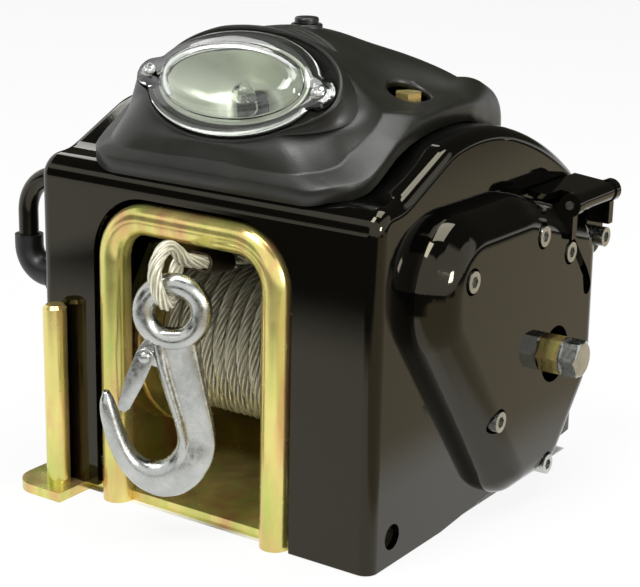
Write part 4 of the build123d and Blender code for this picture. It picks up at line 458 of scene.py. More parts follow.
def worked_mesh(thing: bpy.types.Object) -> bpy.types.Mesh:
    """Return a new mesh of an object, as its curve or its modifiers leave it."""
    return bpy.data.meshes.new_from_object(thing.evaluated_get(bpy.context.evaluated_depsgraph_get()))


def new_piece(name: str, mesh: bpy.types.Mesh, look: Look, body: str, *nodes: str) -> bpy.types.Object:
    """Put a finished mesh into the scene as a piece of the winch.

    Args:
        name: Name of the piece.
        mesh: Its mesh, in place and in metres.
        look: Its finish.
        body: The body that it rides on.
        *nodes: The frame's nodes that it stands for.

    Returns:
        The new object.
    """
    piece = in_scene(name, mesh)
    mesh.materials.clear()
    mesh.materials.append(look.value.material())
    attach(piece, body)
    if nodes:
        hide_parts(*nodes)
    LOG.info("%s: %d faces on %s", name, len(mesh.polygons), body)
    return piece


def curve_mesh(name: str, runs: list, radius: float, bevel: int, kind: str = "POLY") -> bpy.types.Mesh:
    """Make a mesh of round tubes, or of bare lines, along lists of points.

    Args:
        name: Name of the mesh.
        runs: Lists of points in metres, one list for each tube.
        radius: Radius of the tubes, or 0 for bare lines.
        bevel: Blender's bevel resolution; a tube has 4 sides more than twice this.
        kind: POLY for tubes through the points, NURBS for a smooth line that the points guide.

    Returns:
        The mesh.
    """
    data = bpy.data.curves.new(name, "CURVE")
    data.dimensions = "3D"
    data.bevel_depth = radius
    data.bevel_resolution = bevel
    data.use_fill_caps = radius > 0
    data.resolution_u = CURVE_STEPS
    for points in runs:
        spline = data.splines.new(kind)
        spline.points.add(len(points) - 1)
        for spot, point in zip(spline.points, points):
            spot.co = (*point, 1.0)
        if kind == "NURBS":
            spline.order_u = 3
            spline.use_endpoint_u = True
        spline.use_smooth = True
    holder = in_scene(name, data)
    mesh = worked_mesh(holder)
    bpy.data.objects.remove(holder)
    bpy.data.curves.remove(data)
    return mesh


def put_in_order(shape: bmesh.types.BMesh) -> None:
    """Put a shape's edges and faces in the order of their points.

    Extruding makes them in an order that changes from run to run, and the steps that come after would follow it.

    Args:
        shape: The shape.
    """
    shape.verts.index_update()
    count = len(shape.verts)

    def rank(part: bmesh.types.BMEdge | bmesh.types.BMFace) -> int:
        """Make one number of the places of a part's first points."""
        first, second, *rest = sorted(vertex.index for vertex in part.verts)
        return (first * count + second) * count + (rest[0] if rest else 0)

    shape.edges.sort(key=rank)
    shape.faces.sort(key=rank)


def ring_skin(name: str, rings: list[np.ndarray], joined: bool) -> bpy.types.Mesh:
    """Draw a skin through closed rings of points.

    Args:
        name: Name of the mesh.
        rings: Rings in millimetres, each with the same number of points.
        joined: Whether the last ring meets the first; otherwise both ends are capped.

    Returns:
        The mesh, with its faces outwards.
    """
    shape = bmesh.new()
    bmesh.ops.create_circle(shape, segments=len(rings[0]), radius=1.0)
    shape.verts.ensure_lookup_table()
    row = list(shape.verts)
    edges = list(shape.edges)
    first = list(edges)
    for vertex, point in zip(row, rings[0]):
        vertex.co = Vector(point) * MM
    for ring in rings[1:]:
        made = bmesh.ops.extrude_edge_only(shape, edges=edges)["geom"]
        fresh = {part for part in made if isinstance(part, bmesh.types.BMVert)}
        around = [[edge.other_vert(old) for edge in old.link_edges] for old in row]
        row = [next(vertex for vertex in near if vertex in fresh) for near in around]
        edges = [shape.edges.get(pair) for pair in zip(row, row[1:] + row[:1])]
        for vertex, point in zip(row, ring):
            vertex.co = Vector(point) * MM
    if joined:
        bmesh.ops.bridge_loops(shape, edges=first + edges)
    else:
        bmesh.ops.holes_fill(shape, edges=first + edges)
    bmesh.ops.recalc_face_normals(shape, faces=shape.faces)
    return to_mesh(name, shape)


def to_mesh(name: str, shape: bmesh.types.BMesh, smooth: bool = True) -> bpy.types.Mesh:
    """Turn a worked shape into a mesh and free it.

    Args:
        name: Name of the mesh.
        shape: The shape, in metres.
        smooth: Whether its faces are shaded smooth.

    Returns:
        The mesh.
    """
    mesh = bpy.data.meshes.new(name)
    put_in_order(shape)
    for face in shape.faces:
        face.smooth = smooth
    shape.to_mesh(mesh)
    shape.free()
    return mesh


def gathered(name: str, meshes: list[bpy.types.Mesh]) -> bpy.types.Mesh:
    """Join meshes into one.

    Args:
        name: Name of the whole.
        meshes: Its parts, which are removed.

    Returns:
        The whole mesh.
    """
    shape = bmesh.new()
    for mesh in meshes:
        shape.from_mesh(mesh)
        bpy.data.meshes.remove(mesh)
    return to_mesh(name, shape)


def cut_away(mesh: bpy.types.Mesh, cutters: list[bpy.types.Mesh]) -> bpy.types.Mesh:
    """Cut shapes out of a mesh.

    Args:
        mesh: Closed mesh that is cut.
        cutters: Closed meshes of what is taken away.

    Returns:
        The cut mesh; the others are removed.
    """
    whole, *tools = [in_scene(part.name, part) for part in (mesh, *cutters)]
    for tool in tools:
        cut = whole.modifiers.new(tool.name, "BOOLEAN")
        cut.operation = "DIFFERENCE"
        cut.solver = "EXACT"
        cut.object = tool
    result = worked_mesh(whole)
    for thing in (whole, *tools):
        data = thing.data
        bpy.data.objects.remove(thing)
        bpy.data.meshes.remove(data)
    return result


def upright_disc(name: str, radius: float, low: float, high: float, place: tuple[float, float]) -> bpy.types.Mesh:
    """Make a closed upright cylinder for a cut.

    Args:
        name: Name of the mesh.
        radius: Radius in millimetres.
        low: Height of its foot.
        high: Height of its top.
        place: X and Y of its axis.

    Returns:
        The mesh.
    """
    shape = bmesh.new()
    size = {"radius1": radius * MM, "radius2": radius * MM, "depth": (high - low) * MM}
    bmesh.ops.create_cone(shape, cap_ends=True, segments=DISC_SIDES, **size)
    bmesh.ops.translate(shape, vec=Vector((*place, (low + high) / 2)) * MM, verts=shape.verts)
    return to_mesh(name, shape)


@dataclass
class TopCover:
    """The moulded cover on the housing's arch: skirt, rounded shoulders, chin and the brow round the lamp.

    Its skin is a row of closed rings round the lamp. Every ring has one point for each direction in the lamp's
    plane, counted in degrees from its right end. Values that change round the lamp are listed as direction and
    value. A blur is the width of a smoothing, in degrees, or in millimetres for grade_blur.
    """

    lamp: tuple[float, float, float] = (0.0, -65.3, 198.1)
    tilt: float = 40.0
    points: int = 288
    list_blur: float = 16.0
    seat: tuple[float, float] = (44.9, 26.4)
    seat_blur: float = 4.0
    opening: tuple[float, float] = (38.0, 19.5)
    ear: tuple[float, float] = (45.4, 7.2)
    brow: tuple[float, float] = (53.0, 27.6)
    rim_gap: float = 0.8
    rim_round: float = 1.2
    rim_least: float = 0.3
    rim_steps: int = 7
    rim_blur: float = 8.0
    ledge: float = 0.4
    seam: float = 0.05
    foot_step: float = 0.3
    wall: float = 3.0
    skin_rows: int = 56
    lining_step: int = 3
    brow_share: tuple = ((-180, 0.0), (-28, 0.0), (-8, 1.0), (125, 1.0), (165, 0.0), (180, 0.0))
    rise: tuple = ((-180, 0.9), (-35, 0.8), (-12, 2.0), (10, 2.6), (125, 2.4), (165, 1.0), (180, 0.9))
    foot: tuple = (
        *((-180, -0.4), (-32, -0.4), (-14, -7.0), (2, -14.0), (20, -7.0), (40, -2.4)),
        *((90, -1.0), (165, -0.5)),
    )
    flank: tuple = ((-180, 20.0), (0, 15.0), (30, 30.0), (90, 30.0), (150, 30.0))
    slope: tuple = ((-180, 1.0), (-22, 1.0), (10, 0.0), (128, 0.0), (160, 1.0))
    swell: float = 2.5
    lip_walk: tuple = (
        *((-90, 0.0), (-30, 58.0), (-10, 88.0), (10, 118.0), (32, 156.0), (52, 190.0)),
        *((72, 224.0), (90, 266.0)),
    )
    walk_blur: float = 18.0
    lip_blur: float = 6.0
    front: float = -88.0
    rear: float = 65.0
    half: float = 73.4
    rear_half: float = 67.0
    front_round: float = 24.0
    rear_round: float = 16.0
    corner_steps: int = 24
    side_points: tuple = ((0.0, -40.0), (0.0, -10.0), (-0.8, 15.0))
    skirt: float = 6.0
    lip_gap: float = 0.4
    edge_round: tuple = (
        *((-90, 4.0), (-45, 8.0), (0, 17.0), (40, 18.0), (75, 26.0), (105, 26.0)),
        *((140, 18.0), (180, 9.0), (-135, 8.0)),
    )
    edge_most: float = 0.6
    edge_rise: float = 1.0
    edge_rows: int = 18
    shoulder_low: float = 9.5
    shoulder_gain: float = 5.0
    shoulder_edge: float = 4.0
    shoulder_width: float = 26.0
    shoulder_most: float = 1.4
    shoulder_run: float = 36.0
    hump: tuple[float, float] = (45.0, 25.0)
    valley_round: float = 7.0
    dome_ramp: tuple[float, float] = (-22.0, 25.0)
    dome_sink: float = 5.0
    grade_reach: tuple[float, float] = (-120.0, 101.0)
    grade_blur: int = 13
    crown: tuple = (
        *((-96.0, 150.0), (-74.0, 170.0), (-62.0, 214.0), (-47.0, 220.2), (-25.0, 219.8), (-14.0, 218.8)),
        *((0.0, 216.0), (20.0, 207.8), (36.0, 197.2), (50.0, 187.0), (60.0, 178.6), (66.0, 172.0)),
    )
    arch: tuple = (
        *((-88.5, 156.0), (-84.0, 158.6), (-76.0, 159.8), (-70.0, 161.6), (-62.0, 166.0), (-50.0, 173.2)),
        *((-40.0, 177.0), (-30.0, 179.2), (-18.0, 180.8), (-5.0, 181.3), (10.0, 180.6), (22.0, 178.0)),
        *((36.0, 174.0), (50.0, 168.6), (66.0, 160.8)),
    )
    louvres: tuple[float, ...] = (4.0, 8.5, 13.0, 17.5)
    louvre_span: tuple[float, float] = (52.0, 118.0)
    louvre_radius: float = 1.5
    louvre_bevel: int = 4
    screw: tuple[float, float] = (55.0, -12.0)
    pocket_radius: float = 10.0
    pocket_low: float = 167.5
    neck: tuple[float, float, float] = (2.8, -16.0, 5.9)
    neck_low: float = 190.0
    cut_top: float = 240.0
    bezel: tuple = (
        *((5.9, 214.0), (5.9, 219.9), (6.2, 220.4), (6.8, 220.4), (7.2, 219.9), (7.3, 217.0)),
        (7.3, 214.0),
    )
    bezel_sides: int = 48

    def directions(self) -> np.ndarray:
        """Directions in the lamp's plane in degrees, from its lowest point anticlockwise."""
        return -90.0 + 360.0 * np.arange(self.points) / self.points

    def softened(self, values: np.ndarray, blur: float) -> np.ndarray:
        """Smooth a closed run of values.

        Args:
            values: One value for each direction.
            blur: Width of the smoothing in degrees.

        Returns:
            The smoothed values.
        """
        half = int(blur / 360 * self.points / 2)
        return hann_mean(np.pad(values, half, "wrap"), 2 * half + 1)

    def listed(self, knots: tuple) -> np.ndarray:
        """Read a list of directions and values at every direction, smoothed."""
        spots, values = zip(*knots)
        return self.softened(np.interp(self.directions(), spots, values, period=360), self.list_blur)

    def oval(self, half_width: float, half_height: float) -> np.ndarray:
        """Radius of an ellipse in every direction."""
        turn = np.radians(self.directions())
        return half_width * half_height / np.hypot(half_height * np.cos(turn), half_width * np.sin(turn))

    def seat_radius(self) -> np.ndarray:
        """Radius of the lens's seat with its two ears, in every direction."""
        turn = np.radians(self.directions())
        far, round_ = self.ear
        chord = np.maximum(round_**2 - (far * np.sin(turn)) ** 2, 0.0)
        ears = np.where(chord > 0, far * np.abs(np.cos(turn)) + np.sqrt(chord), 0.0)
        return self.softened(np.maximum(self.oval(*self.seat), ears), self.seat_blur)

    def from_lamp(self, points: np.ndarray) -> np.ndarray:
        """Turn points of the lamp's frame into points of the part.

        Args:
            points: Rows of how far across, how far up the lamp's plane and how far out along its normal.

        Returns:
            The points in millimetres.
        """
        sine, cosine = math.sin(math.radians(self.tilt)), math.cos(math.radians(self.tilt))
        return points @ np.array([(1, 0, 0), (0, sine, cosine), (0, -cosine, sine)]) + np.array(self.lamp)

    def placed(self, radius: np.ndarray, level: np.ndarray | float) -> np.ndarray:
        """Turn radius and level in the lamp's frame into points of the part.

        Args:
            radius: Distance from the lamp's middle in every direction.
            level: Height along the lamp's normal.

        Returns:
            A ring of points in millimetres.
        """
        turn = np.radians(self.directions())
        spots = [radius * np.cos(turn), radius * np.sin(turn), np.broadcast_to(level, radius.shape)]
        return self.from_lamp(np.column_stack(spots))

    def lip_line(self) -> np.ndarray:
        """Outline of the lip, one point for each direction.

        Returns:
            Points of X, Y and the height of the housing under them.
        """
        quarter = np.radians(np.linspace(0, 90, self.corner_steps))
        fore = self.front_round * np.column_stack([np.sin(quarter), -np.cos(quarter)])
        fore += (self.half - self.front_round, self.front + self.front_round)
        aft = self.rear_round * np.column_stack([np.cos(quarter), np.sin(quarter)])
        aft += (self.rear_half - self.rear_round, self.rear - self.rear_round)
        sides = np.array(self.side_points) + (self.half, 0.0)
        outline = np.vstack([(0, self.front), fore, sides, aft, (0, self.rear)])
        length = run_length(outline)
        spots, walk = zip(*self.lip_walk)
        turn = self.directions()
        near = np.where(turn <= 90, turn, 180 - turn)
        share = np.interp(near, spots, np.array(walk) / walk[-1])
        walked = np.where(turn <= 90, share, 2 - share)
        even = 2 * np.arange(self.points) / self.points
        walked = (even + self.softened(walked - even, self.walk_blur)) % 2
        right = np.where(walked <= 1, walked, 2 - walked) * length[-1]
        side = np.where(walked <= 1, 1, -1)
        x, y = (np.interp(right, length, values) for values in outline.T)
        line = np.column_stack([self.softened(values, self.lip_blur) for values in (side * x, y)])
        return np.column_stack([line, np.interp(line[:, 1], *zip(*self.arch))])

    def rim_rings(self) -> list[np.ndarray]:
        """Rings from the lamp's opening over its seat and brow to the brow's foot.

        Returns:
            The rings, from the inside out.
        """
        seat = self.seat_radius()
        share = self.listed(self.brow_share)
        brow = self.oval(*self.brow)
        plain = seat + self.rim_gap
        rim = self.softened(plain + share * np.maximum(brow - plain, 0.0), self.rim_blur)
        rise, foot = self.listed(self.rise), self.listed(self.foot)
        bend = self.rim_least + (self.rim_round - self.rim_least) * share
        opening = self.oval(*self.opening)
        rings = [self.placed(opening, -self.wall), self.placed(opening, 0.0), self.placed(seat, 0.0)]
        rings.append(self.placed(seat + self.seam, self.ledge))
        rings.append(self.placed(np.maximum(rim - 2 * self.seam, seat + 2 * self.seam), self.ledge + self.seam))
        for step in np.linspace(math.pi, 0, self.rim_steps):
            rings.append(self.placed(rim + bend * (1 + math.cos(step)), rise - bend * (1 - math.sin(step))))
        rings.append(self.placed(rim + 2 * bend + self.foot_step, foot))
        return rings

    def graded(self, spots: np.ndarray, knots: tuple) -> np.ndarray:
        """Read a list of stations and heights along Y, smoothed.

        Args:
            spots: Y of the points.
            knots: Stations and heights.

        Returns:
            The heights.
        """
        even = np.arange(*self.grade_reach)
        padded = np.pad(np.interp(even, *zip(*knots)), self.grade_blur // 2, "edge")
        return np.interp(spots, even, hann_mean(padded, self.grade_blur))

    def height(self, x: np.ndarray, y: np.ndarray) -> np.ndarray:
        """Height of the roof: level shoulders along the arch, with the hump and the rear dome out of them.

        Args:
            x: X of the points.
            y: Y of the points.

        Returns:
            Their Z.
        """
        arch, crown = self.graded(y, self.arch), self.graded(y, self.crown)
        inward = (self.half - self.shoulder_edge - np.abs(x)) / self.shoulder_width
        inward = np.clip(inward, 0.0, self.shoulder_most) * np.clip((y - self.front) / self.shoulder_run, 0.0, 1.0)
        shoulder = arch + self.shoulder_low + self.shoulder_gain * inward
        ramp_start, ramp_end = self.dome_ramp
        ramp = smooth_step(np.clip((y - ramp_start) / (ramp_end - ramp_start), 0.0, 1.0))
        hump = self.hump[1] * (x / self.hump[0]) ** 2
        dome = (crown - arch - self.dome_sink) * (1 - np.sqrt(np.maximum(1 - (x / self.half) ** 2, 0.0)))
        return soft_max(shoulder, crown - (1 - ramp) * hump - ramp * dome, self.valley_round)

    def roof_rings(self, start: np.ndarray, lip: np.ndarray) -> list[np.ndarray]:
        """Rings over the roof and its rounded edge, from the brow's foot to the top of the skirt.

        Args:
            start: Ring at the brow's foot.
            lip: Outline of the lip.

        Returns:
            The rings after the first.
        """
        way = lip[:, :2] - start[:, :2]
        far = np.linalg.norm(way, axis=1)
        way /= far[:, None]
        edge = lip[:, :2] - way * np.minimum(self.listed(self.edge_round), self.edge_most * far)[:, None]
        above = start[:, 2] - self.height(start[:, 0], start[:, 1])
        slope = self.listed(self.slope)
        flank, ridge = self.listed(self.flank), self.height(edge[:, 0], edge[:, 1])
        rings = []
        for share in np.linspace(0, 1, self.skin_rows - self.edge_rows)[1:]:
            spot = start[:, :2] + share * (edge - start[:, :2])
            fall = np.clip(np.linalg.norm(spot - start[:, :2], axis=1) / flank, 0.0, 1.0)
            roof = self.height(spot[:, 0], spot[:, 1]) + above * np.cos(fall * math.pi / 2) ** 2
            chin = start[:, 2] * (1 - share) + ridge * share + 4 * self.swell * share * (1 - share)
            rings.append(np.column_stack([spot, roof * (1 - slope) + chin * slope]))
        top = rings[-1]
        end = lip + np.array((0.0, 0.0, self.skirt))
        drop = slope * (start[:, 2] - ridge) / np.linalg.norm(edge - start[:, :2], axis=1)
        level = top[:, 2] - drop * np.linalg.norm(lip[:, :2] - edge, axis=1)
        corner = np.column_stack([lip[:, :2], np.maximum(level, end[:, 2] + self.edge_rise)])
        for share in np.linspace(0, 1, self.edge_rows + 1)[1:]:
            keep = 1 - share
            rings.append(keep**2 * top + 2 * keep * share * corner + share**2 * end)
        return rings

    @staticmethod
    def outward(rings: list[np.ndarray]) -> np.ndarray:
        """Unit normals of a stack of rings.

        Args:
            rings: Rings that follow each other.

        Returns:
            One normal for each point of each ring.
        """
        grid = np.array(rings)
        along = np.gradient(grid, axis=0)
        round_ = np.roll(grid, -1, axis=1) - np.roll(grid, 1, axis=1)
        normal = np.cross(along, round_)
        return normal / np.maximum(np.linalg.norm(normal, axis=2), 1e-9)[:, :, None]

    def louvre_lines(self, skin: list[np.ndarray]) -> list[np.ndarray]:
        """Lines of the vent grooves on the skin behind the brow.

        Args:
            skin: Rings of the skin from the brow's foot outwards.

        Returns:
            Points in metres, one list for each groove.
        """
        grid = np.array(skin)
        length = run_length(grid)
        turn = self.directions()
        low, high = self.louvre_span
        columns = [place for place in range(self.points) if low <= turn[place] <= high]
        lines = []
        for far in self.louvres:
            line = [[np.interp(far, length[:, c], grid[:, c, axis]) for axis in range(3)] for c in columns]
            lines.append(np.array(line) * MM)
        return lines

    def build(self) -> bpy.types.Object:
        """Make the cover in place of the plain one, with its grooves, screw pockets and holes cut.

        Returns:
            The cover.
        """
        lip = self.lip_line() + np.array((0.0, 0.0, self.lip_gap))
        rim = self.rim_rings()
        skin = [rim[-1], *self.roof_rings(rim[-1], lip)]
        inner = np.array(skin) - self.wall * self.outward(skin)
        inside = np.column_stack([inner[-1][:, :2], lip[:, 2]])
        lining = [inside, *[inner[row] for row in range(len(skin) - 1, 2, -self.lining_step)]]
        mesh = ring_skin("moulded_top_cover", [*rim, *skin[1:], lip, *lining], True)
        groove = (self.louvre_radius * MM, self.louvre_bevel)
        cutters = [curve_mesh("louvre", [line], *groove) for line in self.louvre_lines(skin)]
        for side in (-1, 1):
            place = (side * self.screw[0], self.screw[1])
            cutters.append(upright_disc("pocket", self.pocket_radius, self.pocket_low, self.cut_top, place))
        cutters.append(upright_disc("neck", self.neck[2], self.neck_low, self.cut_top, self.neck[:2]))
        bezel = [ring + (*self.neck[:2], 0.0) for ring in turned(self.bezel, self.bezel_sides)]
        new_piece("button_bezel", ring_skin("button_bezel", bezel, True), Look.COVER_PLASTIC, "frame")
        return new_piece("moulded_top_cover", cut_away(mesh, cutters), Look.COVER_PLASTIC, "frame", "top_cover")


@dataclass
class Lamp:
    """Lens, reflector, bulb and screws, on rings round the lamp's normal.

    Profiles are listed as radius, inset or share of the radius, and level. The coil has a radius, half a length and
    a number of turns, and the cross recess a length, a width, the level of its floor and a height.
    """

    cover: TopCover = field(default_factory=TopCover)
    play: float = 0.4
    flange: tuple = ((-0.5, 1.35), (0.0, 1.75), (0.0, 2.8), (-0.25, 3.25), (-0.7, 3.4))
    dome: tuple[float, float] = (37.6, 19.1)
    dome_levels: tuple = ((0.0, 3.4), (0.4, 5.2), (1.3, 7.2), (2.6, 8.6), (4.4, 9.3), (8.0, 9.7), (14.0, 9.9))
    glass: float = 1.7
    mirror_edge: tuple[float, float] = (38.6, 20.1)
    mirror_flange: tuple[float, float] = (1.02, 1.28)
    mirror_mouth: tuple[float, float] = (36.4, 17.9)
    mirror_lip: float = 0.8
    mirror_depth: float = 18.0
    mirror_steps: int = 22
    mirror_wall: float = 1.0
    mirror_collar: float = 1.2
    socket_radius: float = 7.8
    bulb_radius: float = 4.8
    bulb_low: float = -17.0
    bulb_top: float = -3.2
    bulb_foot: tuple = ((0.9, 0.0), (0.9, 1.2), (1.0, 2.2))
    bulb_tip: float = 4.0
    tip_angles: tuple[float, ...] = (0, 20, 40, 58, 72, 82)
    bulb_wall: tuple[float, float] = (0.6, 0.5)
    hollow_least: float = 0.3
    coil: tuple[float, float, int] = (0.9, 2.0, 7)
    coil_drop: float = 5.0
    coil_steps: int = 18
    lead_foot: tuple[float, float] = (1.4, 1.5)
    lead_rise: float = 4.0
    filament_radius: float = 0.22
    head: tuple = (
        *((1.55, -1.0), (1.55, 3.5), (3.3, 3.5), (3.5, 3.9), (3.3, 4.6), (2.6, 5.25)),
        *((1.5, 5.65), (0.4, 5.75)),
    )
    head_sides: int = 36
    cross: tuple[float, float, float, float] = (3.4, 0.8, 4.7, 4.0)

    def ring(self, half_width: float, half_height: float, level: float) -> np.ndarray:
        """Oval ring round the lamp's normal."""
        return self.cover.placed(self.cover.oval(half_width, half_height), level)

    def dome_ring(self, inset: float, level: float) -> np.ndarray:
        """Ring of the dome, drawn in by an inset, at a level."""
        return self.ring(self.dome[0] - inset, self.dome[1] - inset, level)

    def bowl(self, grown: float, hole: float, top: float) -> list[np.ndarray]:
        """Rings of the reflector's bowl, from its mouth down to its hole.

        Args:
            grown: How much larger its mouth is than the mirror's.
            hole: Radius of the hole.
            top: Level of the mouth.

        Returns:
            The rings.
        """
        rings = []
        for share in np.linspace(0, 1, self.mirror_steps):
            size = math.sqrt(1 - share)
            half = [hole + (side + grown - hole) * size for side in self.mirror_mouth]
            rings.append(self.ring(*half, top - self.mirror_depth * share))
        return rings

    def lens(self) -> bpy.types.Object:
        """Make the clear lens: eared flange and shallow dome, hollow below.

        Returns:
            The lens.
        """
        edge, glass = self.cover.seat_radius() - self.play, self.glass
        inside = [self.dome_ring(inset + glass, level - glass) for inset, level in reversed(self.dome_levels)]
        low = self.dome_ring(glass, self.flange[0][1])
        rim = [self.cover.placed(edge + step, level) for step, level in self.flange]
        outside = [self.dome_ring(inset, level) for inset, level in self.dome_levels]
        mesh = ring_skin("clear_lens", [*inside, low, *rim, *outside], False)
        return new_piece("clear_lens", mesh, Look.LENS_CLEAR, "frame", "lamp_lens")

    def reflector(self) -> bpy.types.Object:
        """Make the reflector: a flange under the lens and a deep bowl.

        Returns:
            The reflector.
        """
        low, high = self.mirror_flange
        mouth = [side + self.mirror_lip for side in self.mirror_mouth]
        hole, collar = self.socket_radius, self.mirror_collar
        rings = [self.ring(*self.mirror_edge, low), self.ring(*self.mirror_edge, high), self.ring(*mouth, high)]
        rings += self.bowl(0.0, hole, self.mirror_lip)
        rings.append(self.ring(hole, hole, -self.mirror_depth - collar))
        rings += reversed(self.bowl(self.mirror_wall, hole + collar, self.mirror_lip - self.mirror_wall))
        mesh = ring_skin("lamp_mirror", rings, True)
        return new_piece("lamp_mirror", mesh, Look.REFLECTOR_GREY, "frame", "lamp_reflector")

    def bulb(self) -> bpy.types.Object:
        """Make the wedge-base bulb: glass with a rounded tip and a pinched foot, hollow.

        Returns:
            The bulb.
        """
        outer = [(self.bulb_radius * share, self.bulb_low + rise) for share, rise in self.bulb_foot]
        for turn in np.radians(self.tip_angles):
            level = self.bulb_top - self.bulb_tip * (1 - math.sin(turn))
            outer.append((self.bulb_radius * math.cos(turn), level))
        thin, drop = self.bulb_wall
        inner = [(max(radius - thin, self.hollow_least), level - drop) for radius, level in reversed(outer[1:])]
        rings = [self.ring(radius, radius, level) for radius, level in outer + inner]
        mesh = ring_skin("bulb_envelope", rings, False)
        return new_piece("bulb_envelope", mesh, Look.BULB_GLASS, "frame", "lamp_bulb")

    def filament(self) -> bpy.types.Object:
        """Make the bulb's filament coil on its two lead wires.

        Returns:
            The filament.
        """
        radius, half, turns = self.coil
        sweep = np.linspace(0, 2 * math.pi * turns, self.coil_steps * turns)
        along = np.linspace(-half, half, len(sweep))
        level = self.bulb_top - self.coil_drop + radius * np.sin(sweep)
        coil = np.column_stack([along, radius * np.cos(sweep), level])
        runs = [coil]
        for end, side in ((coil[0], -1), (coil[-1], 1)):
            foot = np.array((side * self.lead_foot[0], 0.0, self.bulb_low + self.lead_foot[1]))
            runs.append(np.array([foot, foot + (0.0, 0.0, self.lead_rise), end]))
        runs = [self.cover.from_lamp(run) * MM for run in runs]
        mesh = curve_mesh("bulb_filament", runs, self.filament_radius * MM, 1)
        return new_piece("bulb_filament", mesh, Look.STEEL, "frame")

    def screws(self) -> bpy.types.Object:
        """Make the two pan head screws with their cross recess.

        Returns:
            The pair.
        """
        tilt = Matrix.Rotation(math.radians(90 - self.cover.tilt), 4, "X")
        long, narrow, low, tall = self.cross
        heads = []
        for side in (-1, 1):
            cutters = []
            for size in ((long, narrow), (narrow, long)):
                slot = bmesh.new()
                bmesh.ops.create_cube(slot, size=MM)
                bmesh.ops.scale(slot, vec=(*size, tall), verts=slot.verts)
                bmesh.ops.translate(slot, vec=(0, 0, (low + tall / 2) * MM), verts=slot.verts)
                cutters.append(to_mesh("recess", slot, False))
            head = cut_away(ring_skin("pan_head", turned(self.head, self.head_sides), False), cutters)
            spot = Vector((side * self.cover.ear[0], 0, 0)) * MM
            head.transform(Matrix.Translation(Vector(self.cover.lamp) * MM) @ tilt @ Matrix.Translation(spot))
            heads.append(head)
        mesh = gathered("pan_head_screws", heads)
        return new_piece("pan_head_screws", mesh, Look.BRIGHT_ZINC, "frame", "lamp_screws")

    def build(self) -> None:
        """Make the whole lamp."""
        self.lens()
        self.reflector()
        self.bulb()
        self.filament()
        self.screws()


